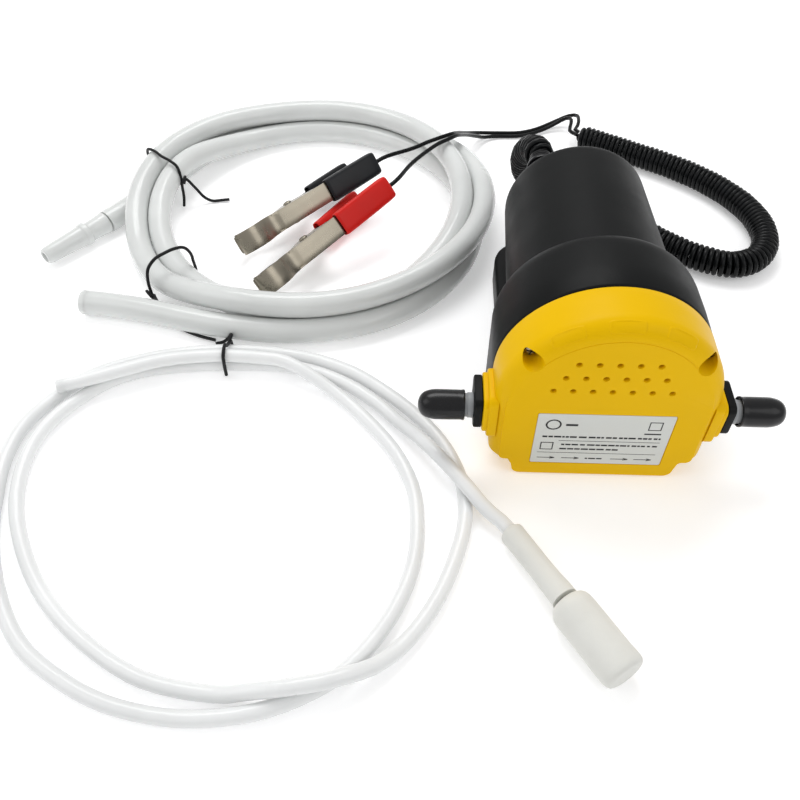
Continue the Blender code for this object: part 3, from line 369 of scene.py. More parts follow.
coil_axis = spline(COIL_ROUTE, 2.0)
coil_pts = helix(coil_axis, (COIL_OD - WIRE_D) / 2 - 0.12, PITCH, 14)
coil = curve("curly_power_cord", coil_pts, WIRE_D, MAT["black_cord_pvc"], 2)
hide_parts("power_coil_cord")

# ------------------------------------------------------------------ the two leads
CLIP_TIP, CLIP_END = 42.0, 58.0
CLIPS = {"black": ((-165.0, 182.7, 16.6), 227.0, 4.0, 37.0), "red": ((-151.0, 149.0, 16.6), 233.0, 5.0, 41.0)}
LEAD_D = 2.6
RING_TOP = 28.4


def clip_matrix(place):
    (x, y, z), yaw, pitch, roll = place
    return Matrix.Translation((x, y, z)) @ Matrix.Rotation(math.radians(yaw), 4, "Z") @ Matrix.Rotation(math.radians(pitch), 4, "Y") @ Matrix.Rotation(math.radians(roll), 4, "X")


def boot_end(colour, side=1, reach=41.4):
    M = clip_matrix(CLIPS[colour])
    slope = math.atan2(17.8 - 12.4, -54.0 + 19.0)
    return M @ Vector((-19.0 + math.cos(slope) * reach, side * (12.4 + math.sin(slope) * reach), 0))


COIL_FACE = Vector(COIL_ROUTE[-1])
COIL_DIR = (Vector(COIL_ROUTE[-1]) - Vector(COIL_ROUTE[-2])).normalized()
SIDEWAYS = Vector((-COIL_DIR.y, COIL_DIR.x, 0)).normalized()
LEAD_WAY = {
    "black": [(24.4, 297.0, 12.4), (25.8, 305.5, 12.0), (25.8, 312.0, 10.8), (22.8, 316.0, 9.0), (17.9, 317.4, 6.5), (8.7, 314.5, 3.5), (-3.4, 307.8, 2.0), (-15.3, 303.5, 1.6), (-31.7, 302.5, 1.6), (-42.1, 299.2, 3.5), (-49.8, 291.7, 8), (-56.1, 279.7, 15), (-61.8, 265.4, 23.6), (-66.7, 253.3, 29.8), (-71.4, 248.7, 30.8), (-76.6, 244.8, 31), (-81.8, 241.2, 31), (-91.0, 233.7, 31)],
    "red": [(18.6, 293.6, 9.8), (20.2, 301.4, 10.8), (20.8, 307.8, 10.8), (18.4, 311.6, 9.0), (14.6, 312.4, 6.5), (7.2, 309.6, 3.5), (-4.4, 303.2, 2.0), (-16.0, 299.0, 1.6), (-31.9, 298.0, 1.6), (-41.6, 294.0, 3.2), (-46.6, 288.2, 7.2), (-53.0, 278.0, 14.2), (-58.8, 264.0, 22.8), (-63.7, 251.8, 29.4), (-69.0, 245.2, 30.6), (-74.4, 240.2, 31), (-80.2, 233.2, 31), (-86.6, 223.6, 31.5), (-92.8, 212.0, 32.5)],
}
leads = {}
for colour, dy in (("black", -1.8), ("red", 1.8)):
    start = COIL_FACE + COIL_DIR * 0.3 + SIDEWAYS * dy + Vector((0, 0, 2.0))
    end = boot_end(colour, reach=38.0)
    back = clip_matrix(CLIPS[colour]).to_3x3() @ Vector((-1, 0.15, 0)).normalized()
    e1 = end + back * 9
    top = RING_TOP + LEAD_D / 2 + 0.6
    mid = LEAD_WAY[colour]
    route = [start, start + COIL_DIR * 3 + Vector((0, 0, 0.4))] + [Vector(p) for p in mid] + [e1, end]
    pts = on_floor(spline(route, 4.0), LEAD_D / 2)
    leads[colour] = (curve("lead_to_%s_clip" % colour, pts, LEAD_D, MAT["black_cord_pvc"], 4), pts)
    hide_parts("lead_" + colour)

for colour in ("black", "red"):
    ob, pts = leads[colour]
    names = ["clip_%s_%s" % (colour, p) for p in ("fixed_jaw", "moving_jaw", "fixed_boot", "moving_boot", "rivet", "spring")]
    leads[colour] = (ob, pts, names)

# ------------------------------------------------------------------ thick discharge hose
RING_X, RING_Y, HOSE_D = -154.5, 197.0, 14.0


def polar(deg, r, z):
    return Vector((RING_X + r * math.cos(math.radians(deg)), RING_Y + r * math.sin(math.radians(deg)), z))


def bundle(k, f):
    """Place k of the three strands while the bundle turns a third of a turn (f from 0 to 1)."""
    phi = [math.radians(a - 120.0 * f) for a in (-30.0, 210.0, 90.0)]
    zc = 7.0 + 8.12 * max(-math.sin(a) for a in phi)
    return 102.0 + 8.12 * math.cos(phi[k]), zc + 8.12 * math.sin(phi[k])


def keys(*rows):
    return list(rows)


def strand(k, turn):
    return [(turn + 300 + 120 * i / 12, *bundle(k, i / 12)) for i in range(13)]


track = [(250, 113, 7), (270, 109.03, 7)] + strand(0, 0)
track += [(450, 95, 7), (480, 94, 8), (500, 93, 12), (510, 94, 18.5), (530, 95, 18.5), (550, 95, 14), (575, 95, 7.5), (590, 95, 7), (630, 95, 7)]
track += strand(1, 360)
track += [(810, 102, 19.15), (830, 102, 19.15), (850, 105, 21.5), (865, 108.5, 21.5), (890, 109, 21.5), (905, 109, 17), (920, 109, 9), (935, 109, 7), (945, 108, 9), (960, 104, 17), (975, 102, 19.15), (990, 102, 19.15)]
track += strand(2, 720)
track += [(1170, 109, 7), (1190, 109, 7), (1210, 106, 7), (1225, 103, 7)]
flat = []
for (a0, r0, z0), (a1, r1, z1) in zip(track, track[1:]):
    n = max(1, round((a1 - a0) / 6))
    for i in range(n):
        f = i / n
        flat.append(Vector((a0 + (a1 - a0) * f, r0 + (r1 - r0) * f, z0 + (z1 - z0) * f)))
flat.append(Vector(track[-1]))
flat = smooth(flat, 3)
hose_route = [Vector((-276, 107, 7)), Vector((-264, 105.7, 7)), Vector((-252, 104, 7)), Vector((-240, 101.6, 7)), Vector((-228, 98.5, 7)), Vector((-216, 95.4, 7)), Vector((-204, 92.6, 7))]
hose_route += [polar(*p) for p in flat if p.x > 258]
hose_route += [Vector((-249, 238.5, 7)), Vector((-258, 222, 7)), Vector((-267, 205.5, 7)), Vector((-275, 192.5, 7.0)), Vector((-282.9, 181.6, 7.15))]
hose_pts = on_floor(smooth(spline(hose_route, 8.0), 2), HOSE_D / 2)
hose = curve("discharge_hose", hose_pts, HOSE_D, MAT["clear_hose_pvc"], 8)
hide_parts("discharge_hose_coil", "discharge_hose_end", "discharge_hose_lead")

# ------------------------------------------------------------------ thin suction tube
TUBE_D = 7.0
TZ = TUBE_D / 2 + 0.1
OVER = TZ + TUBE_D + 0.25
TUBE_ROUTE = [(-269, 39, OVER), (-254, 45, OVER), (-238, 52, OVER), (-221, 59, OVER), (-204, 62.5, OVER), (-187, 64, OVER), (-168, 63, OVER), (-156, 61.5, OVER - 0.2), (-146, 56.5, 9.6), (-133, 49.0, 6.0), (-120, 39, TZ), (-109, 27, TZ), (-98, 13, TZ)]
TUBE_ROUTE += [(-91, 1, TZ), (-85, -15, TZ), (-83, -33, TZ), (-84, -52, TZ), (-90, -72, TZ), (-100, -90, TZ), (-113, -105, TZ), (-128, -114.5, TZ), (-143, -120.5, TZ), (-158, -123.5, TZ), (-173, -124.5, TZ), (-189, -123, TZ), (-206, -119, TZ), (-224, -111, TZ)]
TUBE_ROUTE += [(-245, -97, TZ), (-262, -75, TZ), (-275, -48, TZ), (-282, -21, TZ), (-284.5, -3, TZ), (-283, 16, TZ), (-276.5, 31, TZ), (-260, 52, TZ), (-230, 67.5, TZ), (-192, 74.5, TZ), (-149, 71.5, TZ), (-121, 61.5, TZ), (-101, 47, TZ)]
TUBE_ROUTE += [(-85, 32, TZ), (-72, 15, TZ), (-64, -3, TZ), (-61, -18, TZ), (-61.5, -33, TZ), (-66, -51, TZ), (-74, -71, TZ), (-86, -89.5, TZ), (-99, -102, 6.6), (-110, -108, OVER - 0.4), (-119, -111, OVER), (-129, -113, OVER), (-138, -114, OVER - 1.2), (-148, -114.4, 7.4), (-159, -114.5, TZ), (-176, -113, TZ)]
TUBE_ROUTE += [(-193, -109, TZ), (-211, -100, TZ), (-233, -84, TZ), (-249, -67, TZ), (-262, -47, TZ), (-270, -29, TZ), (-273.5, -14, TZ), (-274.5, 0, TZ), (-273, 12, TZ), (-269, 23, TZ), (-261, 35.5, TZ), (-247, 50, TZ), (-228, 59, TZ), (-190, 64.5, TZ), (-153, 64, TZ), (-126, 54.5, TZ), (-106, 40, TZ)]
TUBE_ROUTE += [(-94, 27, 4.4), (-84, 15.5, 7.4), (-75, 3.5, OVER - 0.8), (-66, -8.5, OVER), (-59, -18, OVER - 0.2), (-52, -26.4, 8.2), (-46, -31.0, 6.6), (-42.6, -34.6, 6.3), (-41.17, -36.9, 6.4)]
tube_pts = on_floor(spline(TUBE_ROUTE, 6.0), TUBE_D / 2)
tube = curve("suction_tube_visual", tube_pts, TUBE_D, MAT["milky_tube_pe"], 6)
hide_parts("suction_tube")

# ------------------------------------------------------------------ mesh helpers for the visible casing
def arc(cx, cz, r, a0, a1, k):
    return [(cx + r * math.cos(math.radians(a0 + (a1 - a0) * i / k)), cz + r * math.sin(math.radians(a0 + (a1 - a0) * i / k))) for i in range(k + 1)]


def rounded(x0, x1, z0, z1, r, k=5):
    out = []
    for cx, cz, a0 in ((x1 - r, z0 + r, -90), (x1 - r, z1 - r, 0), (x0 + r, z1 - r, 90), (x0 + r, z0 + r, 180)):
        out += arc(cx, cz, r, a0, a0 + 90, k)
    return out


def loft(bm, rings, cap0=True, cap1=True):
    vs = [[bm.verts.new(p) for p in r] for r in rings]
    n = len(vs[0])
    for a, b in zip(vs, vs[1:]):
        for i in range(n):
            j = (i + 1) % n
            bm.faces.new((a[i], a[j], b[j], b[i]))
    if cap0:
        bm.faces.new(vs[0])
    if cap1:
        bm.faces.new(vs[-1])
    return bm


def prism(bm, pts, place, a0, a1):
    return loft(bm, [[place(p, a0) for p in pts], [place(p, a1) for p in pts]])


def frame_of(axis):
    a = Vector(axis).normalized()
    u = Vector((0, 0, 1)) if abs(a.z) < 0.9 else Vector((1, 0, 0))
    u = (u - a * u.dot(a)).normalized()
    return a, u, a.cross(u)


def lathe(bm, profile, centre, axis, n=64, wobble=None):
    a, u, v = frame_of(axis)
    c = Vector(centre)
    rows = []
    for r, t in profile:
        if r <= 1e-9:
            rows.append([bm.verts.new(c + a * t)])
        else:
            rows.append([bm.verts.new(c + a * t + (u * math.cos(2 * math.pi * k / n) + v * math.sin(2 * math.pi * k / n)) * r * (1.0 if wobble is None else wobble(2 * math.pi * k / n, t))) for k in range(n)])
    m = len(rows)
    for i in range(m):
        p, q = rows[i], rows[(i + 1) % m]
        if len(p) == 1 and len(q) == 1:
            continue
        for k in range(n):
            l = (k + 1) % n
            if len(p) == 1:
                bm.faces.new((p[0], q[k], q[l]))
            elif len(q) == 1:
                bm.faces.new((p[k], p[l], q[0]))
            else:
                bm.faces.new((p[k], p[l], q[l], q[k]))
    return bm


def round_profile(profile, r=0.5, k=3):
    """Round the corners of a closed lathe outline."""
    out, n = [], len(profile)
    for i, p in enumerate(profile):
        a, b = profile[i - 1], profile[(i + 1) % n]
        if p[0] <= 1e-9:
            out.append(p)
            continue
        P, A, B = Vector((p[0], p[1])), Vector((a[0], a[1])), Vector((b[0], b[1]))
        la, lb = (A - P).length, (B - P).length
        d = min(r, la * 0.4, lb * 0.4)
        pa, pb = P + (A - P).normalized() * d, P + (B - P).normalized() * d
        for j in range(k + 1):
            f = j / k
            q = pa * (1 - f) ** 2 + P * 2 * f * (1 - f) + pb * f * f
            out.append((max(q.x, 0.01), q.y))
    return out


def xz(p, a):
    return (p[0], a, p[1])


def mesh_piece(name, bm, material, body=BODY, smooth=35.0, tool=False):
    """bm is in pump millimetres."""
    bmesh.ops.remove_doubles(bm, verts=bm.verts, dist=1e-4)
    bmesh.ops.recalc_face_normals(bm, faces=bm.faces)
    if bm.calc_volume(signed=True) < 0:
        bmesh.ops.reverse_faces(bm, faces=bm.faces)
    for v in bm.verts:
        v.co = W(v.co)
    me = bpy.data.meshes.new(name)
    bm.to_mesh(me)
    bm.free()
    ob = bpy.data.objects.new(name, me)
    bpy.context.scene.collection.objects.link(ob)
    if not tool:
        me.materials.append(material)
        me.shade_smooth()
        me.set_sharp_from_angle(angle=math.radians(smooth))
        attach(ob, body)
    return ob


def boolean(ob, tool, op="DIFFERENCE"):
    b = ob.modifiers.new(op, "BOOLEAN")
    b.operation = op
    b.solver = "EXACT"
    b.object = tool
    TOOLS.append(tool)


TOOLS = []


def settle(ob, smooth=35.0, bevel=None, angle=35.0, weighted=True):
    """Apply the modifiers, optionally with a bevel on the sharp edges."""
    if bevel:
        b = ob.modifiers.new("bevel", "BEVEL")
        b.width = bevel * MM
        b.segments = 3
        b.limit_method = "ANGLE"
        b.angle_limit = math.radians(angle)
        b.use_clamp_overlap = True
        b.harden_normals = False
    dg = bpy.context.evaluated_depsgraph_get()
    me = bpy.data.meshes.new_from_object(ob.evaluated_get(dg))
    ob.modifiers.clear()
    old = ob.data
    ob.data = me
    bpy.data.meshes.remove(old)
    me.shade_smooth()
    me.set_sharp_from_angle(angle=math.radians(smooth))
    while TOOLS:
        t = TOOLS.pop()
        if t.name in bpy.data.objects:
            bpy.data.objects.remove(t, do_unlink=True)
    return ob


# ------------------------------------------------------------------ the casing's outlines
HALF_W, ARCH_Z, FOOT_HALF, FOOT_H, COVER_DEPTH = 50.0, 49.0, 40.0, 11.0, 25.0
PORT_Y, PORT_Z = 11.5, 36.5
SCREW_X, SCREW_Z, POCKET_Y = 37.0, 77.0, 11.5
ARCH_K = 96


def body_outline(d, low=None):
    """d draws in the arch; the sides draw in less, and the foot least."""
    low = min(d, 1.6) if low is None else low
    h = HALF_W
    side = min(d, 4.6)
    f = FOOT_HALF
    pts = arc(f - 4 - low, 4 + low * 0.6, 4, -90, 0, 6)
    pts = [(-f + 4 + low, low * 0.6), (0.0, low * 0.6)] + pts
    pts += arc(f + 2.2 - low * 0.4, FOOT_H - 2.2 + low * 0.3, 2.2, 180, 90, 6)
    r = 3.0
    pts += arc(h - side - r, FOOT_H + r + low * 0.3, r, -90, 0, 6)
    for i in range(1, 9):
        f2 = i / 9
        pts.append((h - side, (FOOT_H + r + low * 0.3) * (1 - f2) + ARCH_Z * f2))
    for i in range(ARCH_K + 1):
        a = math.pi * i / ARCH_K
        # blend from the side's draw-in at the springing to the full one over the arch
        k = min(1.0, math.sin(a) / 0.45)
        k = k * k * (3 - 2 * k)
        dd = side + (d - side) * k
        pts.append(((h - dd) * math.cos(a), ARCH_Z + (h - dd) * math.sin(a)))
    for i in range(1, 9):
        f2 = i / 9
        pts.append((-(h - side), ARCH_Z * (1 - f2) + (FOOT_H + r + low * 0.3) * f2))
    pts += arc(-h + side + r, FOOT_H + r + low * 0.3, r, 180, 270, 6)
    pts += arc(-f - 2.2 + low * 0.4, FOOT_H - 2.2 + low * 0.3, 2.2, 90, 0, 6)
    pts += arc(-f + 4 + low, 4 + low * 0.6, 4, 180, 270, 6)[:-1]
    return pts


def sections(rows, outline):
    return [[xz(p, y) for p in outline(d)] for y, d in rows]


# ------------------------------------------------------------------ front cover
R0 = 8.2
rows = [(R0 * (1 - math.cos(math.radians(a))), R0 * (1 - math.sin(math.radians(a)))) for a in (0, 7.5, 15, 22.5, 30, 37.5, 45, 52.5, 60, 67.5, 75, 82.5, 90)]
rows += [(12, 0.0), (18, 0.0), (23.6, 0.0), (24.6, 0.25), (COVER_DEPTH, 0.6)]
bm = bmesh.new()
loft(bm, sections(rows, body_outline))
cover = mesh_piece("cover_shell", bm, MAT["yellow_plastic"])
for sx in (-1, 1):
    for x_out, z0, z1, y0, r in ((52.3, PORT_Z - 13.2, PORT_Z + 13.2, 1.8, 4.0), (54.5, PORT_Z - 10.6, PORT_Z + 10.6, 2.6, 4.0)):
        bm = bmesh.new()
        rings = []
        for x, d in ((48.0, 0.0), (x_out - 0.9, 0.0), (x_out - 0.35, 0.2), (x_out - 0.08, 0.55), (x_out, 0.95)):
            rings.append([(sx * x, p[0], p[1]) for p in rounded(y0 + d, COVER_DEPTH - 0.1, z0 + d, z1 - d, r, 6)])
        loft(bm, rings)
        boolean(cover, mesh_piece("tool_saddle", bm, None, tool=True), "UNION")
bm = bmesh.new()
loft(bm, [[xz((p[0] * 0.93, 49 + (p[1] - 49) * 0.93), y) for p in body_outline(3.0)] for y in (5.0, COVER_DEPTH + 3)])
boolean(cover, mesh_piece("tool_hollow", bm, None, tool=True))
settle(cover)
for sx in (-1, 1):
    away = Vector((sx * SCREW_X, 0, SCREW_Z - ARCH_Z)).normalized()
    side = Vector((-away.z, 0, away.x))
    # one rounded slot, open to the rim, with a dished end
    bm = bmesh.new()
    prof = [(4.15 * math.cos(math.radians(a)), 4.15 * math.sin(math.radians(a))) for a in range(0, 360, 10)]
    rings = []
    for y, k in ((-2.0, 1.30), (0.6, 1.12), (2.6, 1.02), (5.0, 0.98), (9.4, 0.93), (10.2, 0.88), (10.6, 0.78)):
        rings.append([tuple(Vector((sx * SCREW_X, y, SCREW_Z)) + away * ((p[0] - 0.45) * (k if p[0] < 0 else min(k, 1.0))) + side * (p[1] * k)) for p in prof])
    loft(bm, rings)
    # the hollow's wall is closed behind the pocket first
    wall = bmesh.new()
    lathe(wall, [(0, 4.0), (5.6, 4.0), (5.6, COVER_DEPTH - 0.5), (0, COVER_DEPTH - 0.5)], (sx * (SCREW_X - 2.6), 0, SCREW_Z - 2.2), (0, 1, 0), 40)
    boolean(cover, mesh_piece("tool_post", wall, None, tool=True), "UNION")
    boolean(cover, mesh_piece("tool_pocket", bm, None, tool=True))
settle(cover)
vents = bmesh.new()
for n_holes, z in ((5, 76.8), (6, 68.5), (7, 60.3)):
    for i in range(n_holes):
        lathe(vents, [(0, -1.0), (1.55, -1.0), (1.5, 0.05), (1.25, 0.5), (1.15, 1.2), (1.1, 4.0), (0, 4.0)], ((i - (n_holes - 1) / 2) * 8.5 - 0.4, 0, z), (0, 1, 0), 16)
boolean(cover, mesh_piece("tool_vents", vents, None, tool=True))
PLATE = (-30.2, 31.2, 9.4, 45.0)
bm = bmesh.new()
prism(bm, rounded(PLATE[0] - 0.35, PLATE[1] + 0.35, PLATE[2] - 0.35, PLATE[3] + 0.35, 1.0, 4), xz, -1.0, 0.45)
boolean(cover, mesh_piece("tool_seat", bm, None, tool=True))
# a shallow ring step over the vents
bm = bmesh.new()
outer = arc(0, 49.0, 42.0, 34, 146, 60)
inner = list(reversed(arc(0, 49.0, 41.5, 34, 146, 60)))
prism(bm, outer + inner, xz, -1.0, 0.14)
boolean(cover, mesh_piece("tool_ring", bm, None, tool=True))
settle(cover, smooth=32.0)
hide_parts("front_cover")


def cover_skin(theta, s, lift):
    """A point on the arch's rounded front edge: theta round the arch in degrees, s along the rounding in degrees."""
    r = HALF_W - R0 + (R0 + lift) * math.cos(math.radians(s)) * 1.0
    y = R0 - (R0 + lift) * math.sin(math.radians(s))
    return (r * math.cos(math.radians(theta)), y, ARCH_Z + r * math.sin(math.radians(theta)))


def skin_pad(name, theta, half_t, s0, s1, lift=0.22):
    bm = bmesh.new()
    cs, hs = (s0 + s1) / 2, (s1 - s0) / 2
    rings = []
    for k, up in ((1.04, -0.5), (1.0, lift * 0.4), (0.95, lift * 0.9), (0.86, lift)):
        ring = []
        for i in range(48):
            a = 2 * math.pi * i / 48
            c, s = math.cos(a), math.sin(a)
            e = 0.30
            px = math.copysign(abs(c) ** e, c) * half_t * k
            py = math.copysign(abs(s) ** e, s) * hs * (k if k < 1 else k * 1.02)
            ring.append(cover_skin(theta + px, cs + py, up))
        rings.append(ring)
    loft(bm, rings)
    return mesh_piece(name, bm, MAT["yellow_plastic"], smooth=50.0)


skin_pad("cover_pad_left", 120.0, 9.0, 22.0, 62.0)
skin_pad("cover_pad_middle", 91.0, 9.0, 22.0, 62.0)
skin_pad("cover_pad_right", 62.0, 9.0, 22.0, 62.0)

# ------------------------------------------------------------------ rating plate: a film with bars in place of print
bm = bmesh.new()
loft(bm, [[xz(p, y) for p in rounded(PLATE[0] + d, PLATE[1] - d, PLATE[2] + d, PLATE[3] - d, 0.9, 4)] for y, d in ((0.5, 0.0), (0.12, 0.0), (0.06, 0.06))])
plate = mesh_piece("plate_film", bm, MAT["label_film"])
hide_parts("rating_plate")
INK = plastic("plate_ink", (0.025, 0.025, 0.028), 0.5, 400.0, 0.02).m


def bars(name, rects):
    bm = bmesh.new()
    for x0, z0, x1, z1, w in rects:
        d = Vector((x1 - x0, z1 - z0))
        n = Vector((-d.y, d.x)).normalized() * w / 2
        q = [(x0 + n.x, z0 + n.y), (x1 + n.x, z1 + n.y), (x1 - n.x, z1 - n.y), (x0 - n.x, z0 - n.y)]
        loft(bm, [[xz(p, y) for p in q] for y in (0.07, 0.02)])
    ob = mesh_piece(name, bm, INK)
    return ob


def dashes(x0, x1, z, w, seed, gap=0.45):
    out, x, k = [], x0, seed
    while x < x1 - 0.8:
        k = (k * 73 + 41) % 101
        l = 1.1 + 2.6 * (k / 101.0)
        out.append((x, z, min(x + l, x1), z, w))
        x += l + gap + (0.5 if k % 3 == 0 else 0)
    return out


X0, X1 = PLATE[0], PLATE[1]
marks = []
marks += dashes(X0 + 3.6, X1 - 3.8, 29.0, 1.15, 7)
marks += dashes(X0 + 13.0, X1 - 4.2, 23.4, 1.05, 19)
marks += dashes(X0 + 12.6, X0 + 40.0, 20.2, 1.05, 31)
marks += [(X0 + 11.4, 26.2, X1 - 3.6, 26.2, 0.28), (X0 + 2.6, 17.2, X1 - 3.6, 17.2, 0.28)]
for ax in (X0 + 3.0, X0 + 14.5, X0 + 37.5, X0 + 48.5):
    marks += [(ax, 13.2, ax + 7.4, 13.2, 0.42), (ax + 5.9, 13.95, ax + 8.2, 13.2, 0.42), (ax + 5.9, 12.45, ax + 8.2, 13.2, 0.42)]
marks += dashes(X0 + 25.6, X0 + 34.6, 13.2, 0.9, 5)
# plain shapes in the places of the printed signs: a ring, a square and a bar
for i in range(24):
    a0, a1 = 2 * math.pi * i / 24, 2 * math.pi * (i + 1) / 24
    marks.append((X0 + 7.6 + 3.2 * math.cos(a0), 37.6 + 3.2 * math.sin(a0), X0 + 7.6 + 3.2 * math.cos(a1), 37.6 + 3.2 * math.sin(a1), 0.8))
marks += [(X0 + 13.2, 37.6, X0 + 18.6, 37.6, 1.4)]
marks += [(X0 + 3.4, 19.6, X0 + 9.4, 19.6, 0.5), (X0 + 3.4, 24.6, X0 + 9.4, 24.6, 0.5), (X0 + 3.65, 19.6, X0 + 3.65, 24.6, 0.5), (X0 + 9.15, 19.6, X0 + 9.15, 24.6, 0.5)]
marks += [(X1 - 11.0, 35.2, X1 - 5.0, 35.2, 0.5), (X1 - 11.0, 40.6, X1 - 5.0, 40.6, 0.5), (X1 - 10.75, 35.2, X1 - 10.75, 40.6, 0.5), (X1 - 5.25, 35.2, X1 - 5.25, 40.6, 0.5), (X1 - 12.0, 32.4, X1 - 4.4, 32.4, 0.9)]
bars("plate_marks", marks)

# ------------------------------------------------------------------ motor housing, tail and base in one smooth moulding
bm = bmesh.new()


def housing_outline(d):
    h = HALF_W - d
    pts = arc(h - 3, 3, 3, -90, 0, 5)
    for i in range(1, 8):
        pts.append((h, 3 + (ARCH_Z - 3) * i / 8))
    pts += arc(0, ARCH_Z, h, 0, 180, ARCH_K)
    for i in range(1, 8):
        pts.append((-h, ARCH_Z + (3 - ARCH_Z) * i / 8))
    pts += arc(-h + 3, 3, 3, 180, 270, 5)
    return pts


loft(bm, [[xz(p, y) for p in housing_outline(d)] for y, d in ((25.4, 0.9), (25.9, 0.35), (26.6, 0.1), (40, 0.05), (54, 0.5), (57.0, 0.8), (59.2, 1.25), (61.2, 2.2), (62.8, 3.7), (63.9, 5.7), (64.4, 7.4), (64.5, 8.4))])
housing = mesh_piece("housing_shell", bm, MAT["black_housing_plastic"])


def circle(r, y, k=112):
    return [(r * math.cos(2 * math.pi * i / k), y, ARCH_Z + r * math.sin(2 * math.pi * i / k)) for i in range(k)]


tail_rows = [(42.0, 50.0), (41.85, 62.0), (41.4, 66.0)]
for i in range(1, 9):
    y = 66 + (146.0 - 66) * i / 8
    tail_rows.append((41.4 + (38.25 - 41.4) * i / 8, y))
for a in (15, 30, 45, 60, 75, 90):
    tail_rows.append((38.25 - 6.4 * (1 - math.cos(math.radians(a))), 146.6 + 6.4 * math.sin(math.radians(a))))
bm = bmesh.new()
loft(bm, [circle(r, y) for r, y in tail_rows])
boolean(housing, mesh_piece("tool_tail", bm, None, tool=True), "UNION")
bm = bmesh.new()


def base_plan(half, y_start, y_end, r):
    return [(-half, y_start), (half, y_start)] + arc(half - r, y_end - r, r, 0, 90, 14) + arc(-half + r, y_end - r, r, 90, 180, 14)


loft(bm, [[(p[0], p[1], z) for p in base_plan(41.5 - d, 50.0, 160.0 - d, 20.0 - d * 0.5)] for z, d in ((0.0, 0.9), (0.35, 0.3), (0.9, 0.0), (14.6, 0.0), (15.6, 0.25), (16.4, 0.8), (17.0, 1.8))])
boolean(housing, mesh_piece("tool_base", bm, None, tool=True), "UNION")
settle(housing)
bm = bmesh.new()
prism(bm, rounded(8 - 6.6, 8 + 6.6, 42 - 9.6, 42 + 9.6, 1.0, 3), xz, 143, 158)
boolean(housing, mesh_piece("tool_switch", bm, None, tool=True))
settle(housing, smooth=38.0)
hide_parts("motor_housing")

# the thin dark joint between the two mouldings
bm = bmesh.new()
loft(bm, [[xz(p, y) for p in body_outline(1.3)] for y in (24.2, 26.4)])
mesh_piece("joint_gasket", bm, MAT["black_cap_rubber"])

# ------------------------------------------------------------------ screws in the pockets
for name, sx in (("left", -1), ("right", 1)):
    bm = bmesh.new()
    lathe(bm, [(0, 7.35), (0.9, 7.2), (1.8, 7.25), (2.5, 7.55), (2.95, 8.1), (3.15, 8.7), (3.15, 11.1), (2.9, 11.3), (1.7, 11.3), (1.7, 30.0), (0, 32.0)], (sx * SCREW_X, 0, SCREW_Z), (0, 1, 0), 40)
    sc = mesh_piece("screw_" + name, bm, MAT["plated_steel"])
    for dx, dz in ((2.3, 0.42), (0.42, 2.3)):
        bm = bmesh.new()
        prism(bm, [(-dx, -dz), (dx, -dz), (dx, dz), (-dx, dz)], lambda p, a, sx=sx: (sx * SCREW_X + p[0] * 0.9 + p[1] * 0.3, a, SCREW_Z + p[1] * 0.9 - p[0] * 0.3), 6.4, 8.6)
        boolean(sc, mesh_piece("tool_slot", bm, None, tool=True))
    settle(sc, smooth=40.0)
    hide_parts("cover_screw_" + name)

# ------------------------------------------------------------------ ports
for name, sx in (("left", -1), ("right", 1)):
    bm = bmesh.new()
    rings = []
    for x, d in ((54.8, 0.3), (55.1, 0.0), (57.9, 0.0), (58.35, 0.2), (58.6, 0.7)):
        rings.append([(sx * x, p[0], p[1]) for p in rounded(PORT_Y - 8.0 + d, PORT_Y + 12.0 - d, PORT_Z - 8.4 + d, PORT_Z + 9.8 - d, 3.2, 6)])
    loft(bm, rings)
    fl = mesh_piece("flange_" + name, bm, MAT["black_housing_plastic"])
    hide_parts("port_flange_" + name)
    bm = bmesh.new()
    lathe(bm, round_profile([(3.0, 50.0), (5.0, 50.0), (5.0, 58.65), (5.9, 58.65), (5.9, 61.2), (5.5, 61.5), (5.5, 64.6), (5.1, 65.0), (5.1, 66.0), (5.9, 66.6), (5.3, 70.6), (5.9, 71.0), (5.3, 75.0), (5.9, 75.4), (5.0, 79.6), (3.0, 79.6)], 0.25, 2), (0, PORT_Y, PORT_Z), (sx, 0, 0), 56)
    bb = mesh_piece("barb_" + name, bm, MAT["grey_port_plastic"], smooth=40)
    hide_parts("port_barb_" + name)
    bm = bmesh.new()
    lathe(bm, [(6.25, 62.7), (6.5, 62.6), (6.85, 62.65), (7.15, 62.9), (7.2, 63.4), (7.05, 63.9), (6.95, 64.4), (7.0, 66.0), (7.05, 70.0), (7.05, 75.6), (7.0, 76.6), (6.86, 77.8), (6.55, 79.2), (6.1, 80.6), (5.5, 81.7), (4.7, 82.6), (3.7, 83.3), (2.5, 83.8), (1.3, 84.1), (0, 84.2), (0, 80.6), (4.8, 80.4), (6.2, 78.6)],
          (0, PORT_Y, PORT_Z), (sx, 0, 0), 64)
    cp = mesh_piece("cap_" + name, bm, MAT["black_cap_rubber"], body="cap_" + name, smooth=60)
    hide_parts("port_cap_" + name)

# ------------------------------------------------------------------ battery clips
HALF_LINE = [(42.0, 1.2), (41.0, 3.6), (37.0, 6.6), (31.5, 8.2), (25.5, 7.6), (20.5, 5.6), (16.5, 5.4), (11.0, 7.0), (0.0, 9.3), (-19.0, 12.4), (-54.0, 17.8)]


def fine_line(line, n=6):
    pts = [Vector((p[0], p[1], 0)) for p in line]
    out = spline([tuple(p) for p in pts[:8]], 0.8)
    out = [(p.x, p.y) for p in out]
    return out + [(p.x, p.y) for p in pts[8:]]


def inset(line, t):
    out = []
    for i, p in enumerate(line):
        a, b = line[max(0, i - 1)], line[min(len(line) - 1, i + 1)]
        d = Vector((b[0] - a[0], b[1] - a[1])).normalized()
        out.append((p[0] - d.y * t, max(p[1] + d.x * t, 0.12)))
    return out


